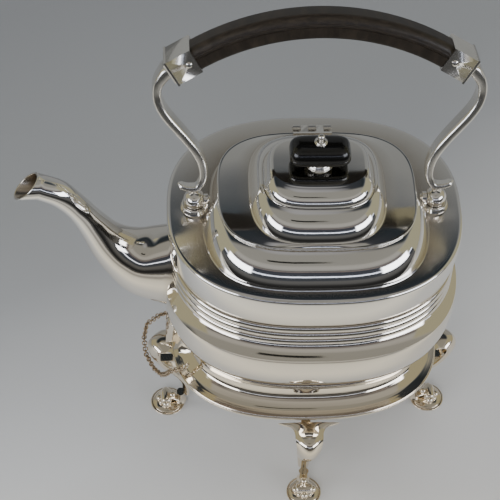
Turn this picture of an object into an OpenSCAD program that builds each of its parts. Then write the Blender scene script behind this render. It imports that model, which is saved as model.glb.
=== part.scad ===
// Spirit kettle on its stand: a swing-handled silver kettle with a stepped hinged lid,
// tilting on a pin above a four-legged stand with a spirit burner.
// The spout points along -X, the front is -Y, and the feet stand on Z = 0.

/* [Kettle body] */
// Half width of the kettle at its rim
rim_half_w = 87.5; // [84:0.5:92]
// Half depth of the kettle at its rim
rim_half_d = 72; // [70:0.5:76]
// Squareness of the kettle's plan
body_square = 2.5; // [2.2:0.05:3]
// Height of the flat shoulder above the ground
shoulder_z = 205; // [200:0.5:212]
// Wall of the kettle
body_wall = 1.4; // [1:0.1:2]
// Radius of the rim's rounded edge
rim_round = 2.6; // [1.5:0.1:3.5]
// How far the neck lies inside the rim
neck_in = 3.2; // [2:0.1:4.5]
// Height of the plain band between rim and reeds
band_h = 27.5; // [24:0.5:31]
// Height of one reed
reed_h = 5.8; // [4.5:0.1:7]
// How far a reed stands out of the neck
reed_out = 1.5; // [0.6:0.1:2.2]
// How far the bulge stands out past the rim
bulge_out = 1.5; // [0:0.1:3]
// Height of the bulge's widest line above the ground
bulge_z = 123; // [119:0.5:128]
// Sideways reach of the rounding under the bulge
bulge_turn = 17.5; // [15:0.5:19]

/* [Dome] */
// How far the dome's foot lies inside the rim, at the sides
dome_in_w = 21.5; // [20:0.5:23]
// How far the dome's foot lies inside the rim, at the front
dome_in_d = 12; // [11:0.5:13]
// How far the dome's back foot stands out behind the lid
dome_back = 9.5; // [8:0.5:11]
// Height of the lid's large flat above the shoulder
step1_h = 19; // [16:0.5:22]
// Shift of dome and lid towards the front
lid_front = 4; // [3:0.5:5]
// Squareness of the plan of dome and lid
lid_square = 3.1; // [2.6:0.05:3.6]

/* [Lid] */
// How far the lid's edge lies inside the dome's foot, at the sides
lid_in_w = 8; // [7:0.5:9]
// How far the lid's edge lies inside the dome's foot, at the front
lid_in_d = 15; // [13:0.5:16]
// Thickness of the lid's beaded edge
lid_edge = 1.6; // [1.3:0.1:2]
// Height of the lid's middle step
step2_h = 14; // [11.5:0.5:16.5]
// Height of the lid's top step
step3_h = 8.5; // [7:0.5:11]
// Sheet of the lid
lid_wall = 1.2; // [0.9:0.1:1.6]
// Depth of the skirt that centres the lid in its opening
skirt_h = 6; // [4:0.5:8]

/* [Finial] */
// Width of the knob
knob_w = 35; // [30:0.5:38]
// Depth of the knob
knob_d = 19; // [16:0.5:22]
// Height of the knob
knob_h = 12.5; // [10:0.5:15]
// Radius of the stud through the knob
stud_r = 1.5; // [1.2:0.1:2]

/* [Lid hinge] */
// Radius of the hinge's knuckles
knuckle_r = 2.2; // [1.9:0.1:2.4]
// Length of the whole hinge
hinge_len = 23; // [20:0.5:28]
// Radius of the hinge's pin
hinge_pin_r = 0.9; // [0.7:0.1:1.1]

/* [Spout] */
// How far the spout's tip reaches from the kettle's middle
spout_reach = 176; // [172:0.5:182]
// Half height of the spout's root on the kettle
spout_root_h = 33; // [30:0.5:34]
// Half width of the spout's root on the kettle
spout_root_w = 20.5; // [18:0.5:22]
// Height of the spout's root middle above the ground
spout_root_z = 150; // [148:0.5:152]
// Height of the spout's mouth middle above the ground
spout_mouth_z = 225.1; // [221:0.5:229]
// Sheet of the spout
spout_wall = 1.2; // [0.9:0.1:1.6]
// Radius of one strainer hole
strainer_r = 1.6; // [1.2:0.1:2]

/* [Handle] */
// Angle by which the standing handle leans back, in degrees
handle_lean = 18; // [12:1:22]
// Radius of the grip's outer curve
grip_r = 143; // [138:0.5:150]
// Half the angle that the grip spans, in degrees
grip_half = 31; // [28:0.5:33]
// Height of the grip's section
grip_h = 13.6; // [11:0.2:16]
// Depth of the grip's section
grip_d = 18; // [15:0.2:20]
// Length of a socket
socket_len = 15; // [12:0.5:18]
// Sheet of a socket
socket_wall = 0.9; // [0.6:0.1:1.2]
// Radius of a grip rivet
rivet_r = 1.2; // [0.9:0.1:1.6]
// Thickness of a handle arm
arm_t = 4.2; // [3.4:0.1:5]
// Depth of a handle arm at its upper end
arm_d = 12; // [10:0.2:14]
// Height of the grip's crown above the pivots
handle_rise = 121.8; // [116:0.2:126]

/* [Handle joints] */
// How far each pivot ball lies inside the rim
ball_in = 16.5; // [16:0.1:17]
// Radius of a pivot ball
ball_r = 6.5; // [6.2:0.1:6.8]
// Radius of a handle pivot pin
pivot_r = 1.2; // [1:0.1:1.5]
// Thickness of a pivot cheek
cheek_t = 2.5; // [2:0.1:2.8]

/* [Stand] */
// How far the stand's lower edge lies inside the rim, at the sides
stand_in_w = 2.8; // [2:0.1:4]
// How far the stand's lower edge lies inside the rim, at front and back
stand_in_d = 7; // [6:0.1:8]
// Height of the stand's lower edge above the ground
stand_z = 74; // [70:0.5:77]
// Sheet of the stand
stand_wall = 1.5; // [1.2:0.1:2]
// Drop of the stand's flange, from collar to lower edge
stand_drop = 24.6; // [23:0.1:27]

/* [Legs and feet] */
// How far the side feet stand outside the stand's lower edge
foot_out_w = 3.3; // [2:0.1:5]
// How far the front and back feet stand outside the stand's lower edge
foot_out_d = 7.6; // [6:0.1:9]
// Radius of a foot's round pad
foot_r = 11.3; // [9.5:0.1:12.5]
// Half width of a leg at the knee
leg_half = 8.2; // [7:0.1:9.5]
// Sheet of a leg
leg_wall = 1.6; // [1.3:0.1:2.2]
// How far a knee stands out past its foot's middle
knee_out = 12.5; // [10:0.5:14]

/* [Tilt hinge] */
// How far the tilt pin lies inside the rim
tilt_in = 3.5; // [2.5:0.1:4]
// Height of the tilt pin above the ground
tilt_z = 98; // [96.5:0.2:98.8]
// Radius of the tilt pin
tilt_pin_r = 1.5; // [1.2:0.1:1.8]
// Thickness of the kettle's tilt lug
tilt_lug_t = 7; // [5:0.2:8]
// Thickness of each ear on the stand
tilt_ear_t = 2.6; // [2:0.1:3.2]
// Radius of the round end of ears and lug
tilt_ear_r = 4.2; // [3.6:0.1:4.6]
// Wire of the pin's chain
chain_wire_r = 0.42; // [0.3:0.02:0.5]
// Middle radius of one chain link
chain_link_r = 1.45; // [1.35:0.05:1.6]

/* [Burner] */
// Radius of the burner's bowl
bowl_r = 29; // [25:0.5:32]
// Height of the burner's bowl
bowl_h = 22; // [18:0.5:25]
// Height of the burner ring's top above the ground
burner_ring_z = 53; // [48:0.5:56]
// Radius of the wick tube
wick_tube_r = 9; // [7:0.5:11]

/* [Clearances] */
// Gap between bodies that move past each other
gap = 0.35; // [0.3:0.05:0.45]
// Gap between seated pieces of one body
seat = 0.05; // [0.02:0.01:0.1]
// Radial clearance of a pin that turns
run = 0.05; // [0.02:0.01:0.1]

/* [Hidden] */
silver = "#c9c6bd";
$fn = 48;
ring_points = 56;
eps = 0.01;

// ---------- plan shapes and lofts ----------

// Signed power, the heart of a superellipse
function spow(v, e) = sign(v) * pow(abs(v), e);
// A closed superellipse with half sizes a and b at height z
function cushion(a, b, n, z, cy = 0, m = ring_points) =
    [for (i = [0:m - 1]) let (t = 360 * i / m)
        [a * spow(cos(t), 2 / n), cy + b * spow(sin(t), 2 / n), z]];

// Skin through a list of equal rings; the ends are capped, or joined when looped
module loft(rings, looped = false) {
    m = len(rings[0]);
    k = len(rings);
    last = looped ? k - 1 : k - 2;
    sides = [for (i = [0:last], j = [0:m - 1])
        let (u = (i + 1) % k, v = (j + 1) % m,
            p = i * m + j, q = i * m + v, r = u * m + v, s = u * m + j)
        each [[p, s, r], [p, r, q]]];
    caps = looped ? [] : [[for (j = [0:m - 1]) j], [for (j = [m - 1:-1:0]) (k - 1) * m + j]];
    polyhedron([for (g = rings) each g], concat(sides, caps), convexity = 8);
}

// How far a bombe band has gone in and up, both from 0 at its foot to 1 at its top: its face
// leans band_from degrees back at the foot and band_to at the top
band_from = 18;
band_to = 77;
function band_lean(t) = band_from + t * (band_to - band_from);
function arc_in(t) = (cos(band_from) - cos(band_lean(t))) / (cos(band_from) - cos(band_to));
function arc_up(t) = (sin(band_lean(t)) - sin(band_from)) / (sin(band_to) - sin(band_from));

// ---------- placing ----------

// Sizes that follow the kettle's rim
dome_half_w = rim_half_w - dome_in_w;
dome_half_d = rim_half_d - dome_in_d;
lid_half_w = dome_half_w - lid_in_w;
lid_half_d = dome_half_d - lid_in_d;
ball_x = rim_half_w - ball_in;
stand_half_w = rim_half_w - stand_in_w;
stand_half_d = rim_half_d - stand_in_d;
foot_x = stand_half_w + foot_out_w;
foot_y = stand_half_d + foot_out_d;
tilt_x = rim_half_w - tilt_in;

// The ground under the middle of the whole object is the origin
x_shift = (spout_reach - foot_x - knee_out) / 2;
module placed() { translate([x_shift, 0, 0]) children(); }
// Both sides of the handle: -1 is the spout's side
module on_side(side) { mirror([side < 0 ? 1 : 0, 0, 0]) children(); }

// ---------- kettle body ----------

// The kettle's underside sits a gap above the stand's collar
stand_top_z = stand_z + stand_drop;
reeds = 3;
reed_top_z = shoulder_z - band_h;
reed_bottom_z = reed_top_z - reeds * reed_h;
base_z = stand_top_z + gap;
neck_off = -neck_in;
turn_off = bulge_out - bulge_turn;
// Height of the imaginary ellipse that draws the bulge's upper side
bulge_rise = (reed_bottom_z - bulge_z) / sqrt(1 - pow((neck_off - turn_off) / bulge_turn, 2));
sunk_base = 4.5;
sunk_in = 4;
// Opening under the lid, inside the flat that the lid's edge rests over
lid_rest = 6.5;
open_half_w = lid_half_w - lid_rest;
open_half_d = lid_half_d - lid_rest;

// Plan ring of the kettle, moved outwards by off
function body_ring(off, z) = cushion(rim_half_w + off, rim_half_d + off, body_square, z);
// Offsets and heights down the kettle's outside, from the underside to the rim
under = [for (i = [0:6]) let (t = 90 * i / 6)
    [turn_off + bulge_turn * sin(t), bulge_z - (bulge_z - base_z) * cos(t)]];
over = [for (i = [1:6]) let (z = bulge_z + (reed_bottom_z - bulge_z) * i / 6)
    [turn_off + bulge_turn * sqrt(1 - pow((z - bulge_z) / bulge_rise, 2)), z]];
reeding = [for (r = [0:reeds - 1], i = [1:4])
    [neck_off + reed_out * (i < 4 ? sin(45 * i) : 0.05), reed_bottom_z + reed_h * (r + i / 4)]];
wall = [for (i = [1:4]) let (t = i / 4)
    [neck_off * pow(1 - t, 2), reed_top_z + (band_h - rim_round) * t]];
rim = [for (i = [1:3]) let (t = 30 * i)
    [-rim_round * (1 - cos(t)), shoulder_z - rim_round * (1 - sin(t))]];
outside = concat(under, over, reeding, wall, rim);
// The inside follows the outside more simply
function inside_off(z) = z >= reed_bottom_z ? neck_off
    : turn_off + bulge_turn * sqrt(1 - pow((z - bulge_z)
        / (z > bulge_z ? bulge_rise : bulge_z - base_z), 2));
inside_z = [shoulder_z - body_wall, shoulder_z - 14, reed_top_z, reed_bottom_z, bulge_z + 16,
    bulge_z, bulge_z - 12, base_z + 3];

// The joints of the handle lie beside the dome, so their sizes come first
ball_flat = 5;
cheek_x = ball_x - ball_flat - gap;
pin_head_t = 1.3;
pin_head_x = cheek_x - cheek_t - pin_head_t;
// The dome is bombe in front, and drawn in straight behind to pass the handle's joints
lid_z = shoulder_z + 0.4;
step1_z = lid_z + step1_h;
dome_top_z = step1_z - lid_edge - gap;
dome_side_w = pin_head_x - gap;
dome_back_d = lid_half_d + dome_back;
dome_top_in = 0.4;
function dome_ring(t, less) = let (
        out = 1 - arc_in(t), u = arc_up(t),
        z = shoulder_z + (dome_top_z - shoulder_z) * u - (t == 0 || t == 1 ? less : 0),
        top_w = lid_half_w - dome_top_in - less, top_d = lid_half_d - dome_top_in - less,
        front_w = top_w + (dome_half_w - top_w - less) * out,
        front_d = top_d + (dome_half_d - top_d - less) * out,
        back_w = top_w + (dome_side_w - top_w - less) * (1 - u),
        back_d = top_d + (dome_back_d - top_d - less) * (1 - u))
    [for (i = [0:ring_points - 1]) let (v = 360 * i / ring_points, c = spow(cos(v), 2 / lid_square),
            d = spow(sin(v), 2 / lid_square))
        [(v > 180 ? front_w : back_w) * c, (v > 180 ? front_d : back_d) * d - lid_front, z]];
dome_turns = [0, 0.15, 0.3, 0.45, 0.6, 0.75, 0.9, 1];

// Part of the kettle's outside between two heights, to cut what is soldered to it
module kettle_outside(low, high) {
    loft([for (p = outside) if (p[1] > low && p[1] < high) body_ring(p[0], p[1])]);
}
// The wall's upper edge is turned in as a lip, and the shoulder with the dome is let into it
lip_in = neck_in + body_wall + 1.9;
module kettle_body() {
    rings = concat(
        [body_ring(turn_off - sunk_in, base_z - sunk_base)],
        [body_ring(turn_off - sunk_in, base_z - 0.4)],
        [for (p = outside) body_ring(p[0], p[1])],
        [for (z = [shoulder_z, shoulder_z - body_wall]) body_ring(-lip_in, z)],
        [for (z = inside_z) body_ring(inside_off(z) - body_wall, z)],
        [body_ring(turn_off - sunk_in - body_wall, base_z + 0.6)],
        [body_ring(turn_off - sunk_in - body_wall, base_z - sunk_base + body_wall)]);
    color(silver) placed() difference() {
        loft(rings);
        strainer();
    }
}
module kettle_shoulder() {
    color(silver) placed() loft(looped = true, rings = concat(
        [body_ring(-lip_in - seat, shoulder_z)],
        [for (t = dome_turns) dome_ring(t, 0)],
        [cushion(open_half_w, open_half_d, lid_square, dome_top_z, -lid_front)],
        [cushion(open_half_w, open_half_d, lid_square, dome_top_z - body_wall, -lid_front)],
        [for (t = [1, 0.65, 0.3, 0]) dome_ring(t, body_wall)],
        [body_ring(-lip_in - seat, shoulder_z - body_wall)]));
}
// Holes through the wall where the spout leaves
module strainer() {
    for (row = [-2:2], col = [-1:1])
        translate([-rim_half_w - 6, col * 8 + (row % 2) * 4, spout_root_z + row * 8])
            rotate([0, 90, 0])
            cylinder(r = strainer_r, h = 18, $fn = 14);
}

// ---------- spout ----------

// Stations from the kettle to the mouth, as shares of the way out, of the rise, and of the
// root's half height and half width
root_x = rim_half_w - neck_in - 4.5;
spout_from = rim_half_w + 0.5;
spout_len = spout_reach - spout_from;
spout_rise = spout_mouth_z - spout_root_z;
spout_stations = [
    [0, 0, 1, 1], [0.16, 0.08, 0.773, 0.902], [0.29, 0.19, 0.53, 0.756],
    [0.4, 0.3435, 0.373, 0.6], [0.5, 0.5566, 0.267, 0.459], [0.6, 0.7643, 0.224, 0.4],
    [0.71, 0.9188, 0.242, 0.39], [0.83, 0.9933, 0.236, 0.376]];
spout_lean = [2, 24, 44, 58, 62, 52, 35, 18];
spout_points = 22;
function spout_ring(i, less) = let (s = spout_stations[i], lean = spout_lean[i],
        x = i == 0 ? root_x : spout_from + s[0] * spout_len,
        z = spout_root_z + s[1] * spout_rise,
        h = s[2] * spout_root_h - less, w = s[3] * spout_root_w - less)
    [for (j = [0:spout_points - 1]) let (t = -360 * j / spout_points,
            up = h * spow(sin(t), 0.9), side = w * spow(cos(t), 0.9))
        [-x + up * sin(lean), side, z + up * cos(lean)]];
// The mouth is cut slanting, with its lower lip reaching furthest
lip_run = 6.1;
mouth_half_h = 0.267 * spout_root_h;
mouth_half_w = 0.371 * spout_root_w;
function mouth_ring(less) = [for (j = [0:spout_points - 1])
    let (t = -360 * j / spout_points, share = 1 - less / mouth_half_h,
            side = (mouth_half_w - less) * cos(t))
        [-spout_reach + lip_run * (1 + sin(t) * share), side,
            spout_mouth_z + mouth_half_h * share * sin(t)]];
module spout() {
    k = len(spout_stations) - 1;
    outer = concat([for (i = [0:k]) spout_ring(i, 0)], [mouth_ring(0)]);
    inner = concat([mouth_ring(spout_wall)], [for (i = [k:-1:0]) spout_ring(i, spout_wall)]);
    color(silver) placed() difference() {
        loft(concat(outer, inner), looped = true);
        kettle_outside(spout_root_z - 1.25 * spout_root_h, spout_root_z + 1.25 * spout_root_h);
    }
}

// ---------- lid ----------

step2_z = step1_z + 1.2 + step2_h;
step3_z = step2_z + step3_h;
tier2_half_w = lid_half_w - 18.5;
tier2_half_d = lid_half_d - 3;
tier3_half_w = tier2_half_w - 7.7;
tier3_half_d = tier2_half_d - 16.4;
top_half_w = tier3_half_w - 4.8;
top_half_d = tier3_half_d - 6.6;
// The top step sits forward of the others, so that its front band is as steep as theirs
step3_front = 2.4;
// Steps of the lid as [half width, half depth, height, forward]; n pieces make a bombe band
function band(foot, top, n) = [for (i = [0:n]) let (d = top - foot, in = arc_in(i / n))
    foot + [d[0] * in, d[1] * in, d[2] * arc_up(i / n), d[3] * in]];
lid_under_z = step1_z - lid_edge;
lid_steps = concat(
    [[lid_half_w - 0.4, lid_half_d - 0.4, lid_under_z, 0]],
    [[lid_half_w, lid_half_d, lid_under_z + 0.5, 0]],
    [[lid_half_w, lid_half_d, step1_z - 0.3, 0]],
    [[lid_half_w - 0.5, lid_half_d - 0.5, step1_z + 0.1, 0]],
    band([tier2_half_w, tier2_half_d, step1_z + 1.2, 0],
        [tier3_half_w + 0.8, tier3_half_d + 0.8, step2_z - 0.2, step3_front], 6),
    band([tier3_half_w, tier3_half_d, step2_z, step3_front],
        [top_half_w, top_half_d, step3_z, 0], 6),
    [[top_half_w - 3, top_half_d - 3, step3_z + 0.4, 0]]);
lid_inner_steps = concat(
    [[tier2_half_w - lid_wall - 1, tier2_half_d - lid_wall - 2, lid_under_z - 1, 0]],
    band([tier2_half_w - lid_wall - 2, tier2_half_d - lid_wall - 3, step1_z + 2, 0],
        [tier3_half_w - lid_wall, tier3_half_d - lid_wall, step2_z - lid_wall - 0.4,
            step3_front], 2),
    band([tier3_half_w - lid_wall - 1, tier3_half_d - lid_wall - 1, step2_z + 1, step3_front],
        [top_half_w - 2, top_half_d - 2, step3_z - lid_wall, 0], 2));
function lid_ring(s) = cushion(s[0], s[1], lid_square, s[2], -lid_front - s[3]);
module lid_shell() {
    color(silver) placed() difference() {
        loft([for (s = lid_steps) lid_ring(s)]);
        loft([for (s = lid_inner_steps) lid_ring(s)]);
        translate([0, -lid_front, step3_z - 3]) cylinder(r = stud_r + seat, h = 6);
    }
}
// Skirt below the lid that centres it in the opening
skirt_gap = 0.8;
skirt_t = 1.2;
function plan_of(a, b) = [for (p = cushion(a, b, lid_square, 0)) [p[0], p[1]]];
module lid_skirt() {
    a = open_half_w - skirt_gap;
    b = open_half_d - skirt_gap;
    color(silver) placed() translate([0, -lid_front, lid_under_z - seat - skirt_h])
        linear_extrude(skirt_h) difference() {
            polygon(plan_of(a, b));
            polygon(plan_of(a - skirt_t, b - skirt_t));
        }
}

// ---------- lid hinge ----------

lid_back_y = lid_half_d - lid_front;
hinge_y = lid_back_y + knuckle_r + 2;
hinge_z = step1_z + 0.8 - knuckle_r;
knuckles = 5;
knuckle_len = hinge_len / knuckles;
knuckle_gap = 0.3;
module knuckle(i) {
    translate([-hinge_len / 2 + i * knuckle_len + knuckle_gap / 2, hinge_y, hinge_z])
        rotate([0, 90, 0]) cylinder(r = knuckle_r, h = knuckle_len - knuckle_gap);
}
module hinge_bore(r) {
    translate([-hinge_len, hinge_y, hinge_z]) rotate([0, 90, 0]) cylinder(r = r, h = 2 * hinge_len);
}
// Back of the dome over its middle, as a depth at height z
function dome_back_y(z) = let (top = lid_back_y - dome_top_in, foot = dome_back_d - lid_front)
    foot + (top - foot) * (z - shoulder_z) / (dome_top_z - shoulder_z);
web_drop = 9;
module lid_hinge_leaf() {
    color(silver) placed() difference() {
        for (i = [0, 2, 4]) {
            knuckle(i);
            // Web from the knuckle down the dome's back
            translate([-hinge_len / 2 + i * knuckle_len + knuckle_gap / 2, 0, 0])
                rotate([90, 0, 90]) linear_extrude(knuckle_len - knuckle_gap)
                polygon([[hinge_y + knuckle_r, hinge_z],
                    [dome_back_y(hinge_z - web_drop) + 1.4, hinge_z - web_drop],
                    [dome_back_y(hinge_z - web_drop) + 2 * seat, hinge_z - web_drop],
                    [dome_back_y(hinge_z - 3.4) + 2 * seat, hinge_z - 3.4],
                    [hinge_y - knuckle_r * 0.8, hinge_z - knuckle_r * 0.6]]);
        }
        hinge_bore(hinge_pin_r + seat / 2);
    }
}
// Flat of the lid behind its middle step, which rises a little inwards
flat_y = lid_half_d - 0.5 - tier2_half_d;
leaf_y = 0.85 * flat_y;
leaf_up = 1.1 * leaf_y / flat_y;
leaf_t = 0.7;
module lid_knuckles() {
    top = step1_z + 0.1 + seat;
    color(silver) placed() difference() {
        union() {
            for (i = [1, 3]) {
                knuckle(i);
                translate([-hinge_len / 2 + i * knuckle_len + knuckle_gap / 2,
                    lid_back_y - 0.6, top])
                    cube([knuckle_len - knuckle_gap, hinge_y - lid_back_y + 0.6, leaf_t]);
            }
            // Leaf that is soldered on the lid's flat
            translate([-hinge_len / 2, lid_back_y - 0.5, top])
                rotate([90, 0, 90]) linear_extrude(hinge_len)
                    polygon([[0, 0], [0, leaf_t], [-leaf_y, leaf_up + leaf_t],
                        [-leaf_y, leaf_up]]);
        }
        hinge_bore(hinge_pin_r + run);
    }
}
module lid_hinge_pin() {
    color(silver) placed() translate([-hinge_len / 2 - 0.4, hinge_y, hinge_z])
        rotate([0, 90, 0]) cylinder(r = hinge_pin_r, h = hinge_len + 0.8);
}

// ---------- finial ----------

finial_z = step3_z + 0.4 + seat;
collar_h = 4;
module finial_collar() {
    color(silver) placed() translate([0, -lid_front, finial_z]) difference() {
        rotate_extrude() polygon(concat([[0, 0], [8.4, 0], [8.4, 0.8]],
            [for (t = [0:18:90]) [5 + 3 * cos(t), 0.8 + 3.2 * sin(t)]], [[0, collar_h]]));
        translate([0, 0, -1]) cylinder(r = stud_r + seat, h = collar_h + 2);
    }
}
knob_z = finial_z + collar_h + seat;
module finial_knob() {
    a = knob_w / 2;
    b = knob_d / 2;
    levels = [[a - 3.2, b - 3.2, 0], [a - 1.2, b - 1.2, 0.7], [a - 0.2, b - 0.2, 2.4],
        [a, b, 4.2], [a - 0.3, b - 0.4, 7], [a - 1.4, b - 2, 9.8], [a - 3, b - 4, 11.6],
        [a - 5, b - 5.6, 12.5]];
    color("#15130f") placed() translate([0, -lid_front, knob_z]) difference() {
        loft([for (s = levels) cushion(s[0], s[1], 5, s[2] * knob_h / 12.5, 0, 32)]);
        translate([0, 0, -1]) cylinder(r = stud_r + seat, h = knob_h + 2);
    }
}
stud_top = knob_z + knob_h;
stud_bottom = step3_z - lid_wall - 4;
module finial_stud() {
    color(silver) placed() translate([0, -lid_front, 0]) {
        translate([0, 0, stud_bottom]) cylinder(r = stud_r, h = stud_top - stud_bottom);
        translate([0, 0, stud_top + seat]) rotate_extrude() polygon(concat(
            [[0, -2 * seat], [stud_r, -2 * seat], [stud_r, 0], [3.7, 0], [3.7, 0.7]],
            [for (t = [0:15:90]) [1.1 + 2.2 * cos(t), 0.7 + 1.3 * sin(t)]], [[1.1, 3],
            [0, 3]]));
        translate([0, 0, stud_top + 4.3]) sphere(r = 2.05);
    }
}
module finial_nut() {
    color(silver) placed() translate([0, -lid_front, step3_z - lid_wall - seat - 2.4])
        difference() {
            union() {
                cylinder(r = 4.2, h = 2.4, $fn = 6);
                translate([0, 0, 1.6]) cylinder(r = 5.5, h = 0.8);
            }
            translate([0, 0, -1]) cylinder(r = stud_r + seat, h = 5);
        }
}

// ---------- handle ----------

pivot_z = shoulder_z + ball_r + 0.5;
// Everything of the handle is drawn upright about its pivots, then leaned back
module leaned() {
    placed() translate([0, 0, pivot_z]) rotate([-handle_lean, 0, 0]) children();
}
grip_axis_z = handle_rise - grip_r;
// Middle of the grip's end face, and the frame that a socket is drawn in
grip_end_x = (grip_r - grip_h / 2) * sin(grip_half);
grip_end_z = grip_axis_z + (grip_r - grip_h / 2) * cos(grip_half);
module at_grip_end() {
    translate([grip_end_x, 0, grip_end_z]) rotate([0, grip_half, 0]) children();
}
tenon_len = socket_len - 3;
tenon_less = 0.8;
module handle_grip() {
    h = grip_h / 2;
    d = grip_d / 2;
    r = 4.5;
    q = 1.6;
    // Section: flat below, rounded above, with a fine bead along both upper edges
    half = concat([[grip_r - grip_h, 0], [grip_r - grip_h, d - q]],
        [for (t = [30:30:90]) [grip_r - grip_h + q * (1 - cos(t)), d - q + q * sin(t)]],
        [[grip_r - r - 2.2, d], [grip_r - r - 1.8, d - 0.5], [grip_r - r - 1.2, d - 0.5]],
        [for (t = [0:30:90]) [grip_r - r + r * sin(t), d - r - 0.3 + r * cos(t)]]);
    section = concat(half, [for (i = [len(half) - 1:-1:1]) [half[i][0], -half[i][1]]]);
    color("#2c211b") leaned() difference() {
        union() {
            translate([0, 0, grip_axis_z]) rotate([90, 0, 0]) rotate([0, 0, 90 - grip_half])
                rotate_extrude(angle = 2 * grip_half, $fn = 180) polygon(section);
            for (side = [-1, 1])
                on_side(side) at_grip_end()
                    translate([-eps, -d + tenon_less + socket_wall, -h + tenon_less + socket_wall])
                    cube([tenon_len, grip_d - 2 * (tenon_less + socket_wall),
                        grip_h - 2 * (tenon_less + socket_wall)]);
        }
        rivet_bores(rivet_r + seat);
    }
}
rivet_in = 4.5;
module rivet_bores(r) {
    for (side = [-1, 1])
        on_side(side) at_grip_end() translate([rivet_in, grip_d, 0])
            rotate([90, 0, 0]) cylinder(r = r, h = 2 * grip_d);
}
module grip_rivets() {
    color(silver) leaned() for (side = [-1, 1])
        on_side(side) at_grip_end() translate([rivet_in, 0, 0]) rotate([90, 0, 0]) {
            cylinder(r = rivet_r, h = grip_d + 2 * socket_wall, center = true);
            for (end = [0, 1])
                mirror([0, 0, end]) translate([0, 0, grip_d / 2 + socket_wall + seat])
                    rotate_extrude() polygon([[0, -2 * seat], [rivet_r, -2 * seat],
                        [rivet_r, 0], [1.9, 0], [1.7, 0.5], [0.9, 0.85], [0, 0.9]]);
        }
}
// A box over the grip's end, closed at its outer end by a stepped cap
module handle_socket(side) {
    h = grip_h / 2 + socket_wall;
    d = grip_d / 2 + socket_wall;
    inside_h = grip_h / 2 - tenon_less;
    inside_d = grip_d / 2 - tenon_less;
    color(silver) leaned() on_side(side) difference() {
        at_grip_end() difference() {
            union() {
                translate([seat, -d, -h]) cube([socket_len, 2 * d, 2 * h]);
                translate([socket_len, -d - 0.5, -h - 0.5])
                    cube([1.2, 2 * d + 1, 2 * h + 1]);
                translate([socket_len + 1.1, -d + 1.2, -h + 1.2])
                    cube([1.3, 2 * d - 2.4, 2 * h - 2.4]);
            }
            translate([0, -inside_d, -inside_h])
                cube([tenon_len + seat, 2 * inside_d, 2 * inside_h]);
        }
        rivet_bores(rivet_r + seat);
    }
}
// Outer end of a socket, where its arm starts
socket_out = socket_len + 2.4 + seat;
arm_from_x = grip_end_x + socket_out * cos(grip_half);
arm_from_z = grip_end_z - socket_out * sin(grip_half);
arm_from_t = grip_h / 2 + 1;
// Arm: stations [x, height above pivot, thickness, depth] from the socket to the scroll foot
function arm_at(across, up, t, d) = [ball_x + across * (arm_from_x - ball_x), up * arm_from_z,
    t * arm_t, d * arm_d];
arm_stations = [
    [arm_from_x, arm_from_z, arm_from_t, 1.2 * arm_d],
    [arm_from_x + 1.5 * cos(grip_half), arm_from_z - 1.5 * sin(grip_half), 1.7 * arm_t,
        1.19 * arm_d],
    arm_at(1.3, 0.946, 1.3, 1.15), arm_at(1.454, 0.895, 1.12, 1.08), arm_at(1.507, 0.82, 1, 1),
    arm_at(1.392, 0.739, 1, 1), arm_at(1.149, 0.664, 1, 1), arm_at(0.754, 0.578, 1, 1),
    arm_at(0.323, 0.485, 1, 0.95), arm_at(-0.036, 0.399, 1, 0.9),
    arm_at(-0.273, 0.312, 0.95, 0.8), arm_at(-0.366, 0.231, 0.9, 0.7),
    arm_at(-0.323, 0.159, 0.8, 0.62),
    [ball_x - 1.6, ball_r + 2.3, 0.72 * arm_t, 0.58 * arm_d],
    [ball_x + 2.6, ball_r + 1.75, 0.66 * arm_t, 0.55 * arm_d],
    [ball_x + 6.6, ball_r + 2.7, 0.6 * arm_t, 0.5 * arm_d],
    [ball_x + 9.6, ball_r + 4.9, 0.5 * arm_t, 0.42 * arm_d]];
function tangent(list, i) = let (a = list[max(i - 1, 0)], b = list[min(i + 1, len(list) - 1)],
        d = [b[0] - a[0], b[1] - a[1]]) d / norm(d);
arm_section = [[-1, -0.7], [-0.7, -1], [0.7, -1], [1, -0.7], [1, 0.7], [0.7, 1], [-0.7, 1],
    [-1, 0.7]];
module handle_arm(side) {
    color(silver) leaned() on_side(side)
        loft([for (i = [0:len(arm_stations) - 1]) let (s = arm_stations[i],
                t = tangent(arm_stations, i), nx = -t[1], nz = t[0])
            [for (p = arm_section) [s[0] + nx * p[0] * s[2] / 2, p[1] * s[3] / 2,
                s[1] + nz * p[0] * s[2] / 2]]]);
}
// The ball that turns on the pivot pin, cut flat against its cheek
module handle_ball(side) {
    color(silver) leaned() on_side(side) difference() {
        translate([ball_x, 0, 0]) sphere(r = ball_r);
        translate([ball_x - ball_r - 1, -ball_r, -ball_r])
            cube([ball_r + 1 - ball_flat, 2 * ball_r, 2 * ball_r]);
        translate([ball_x - ball_r - 1, 0, 0]) rotate([0, 90, 0])
            cylinder(r = pivot_r + run, h = 2 * ball_r + 2);
    }
}

// ---------- handle joints on the kettle ----------

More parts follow.
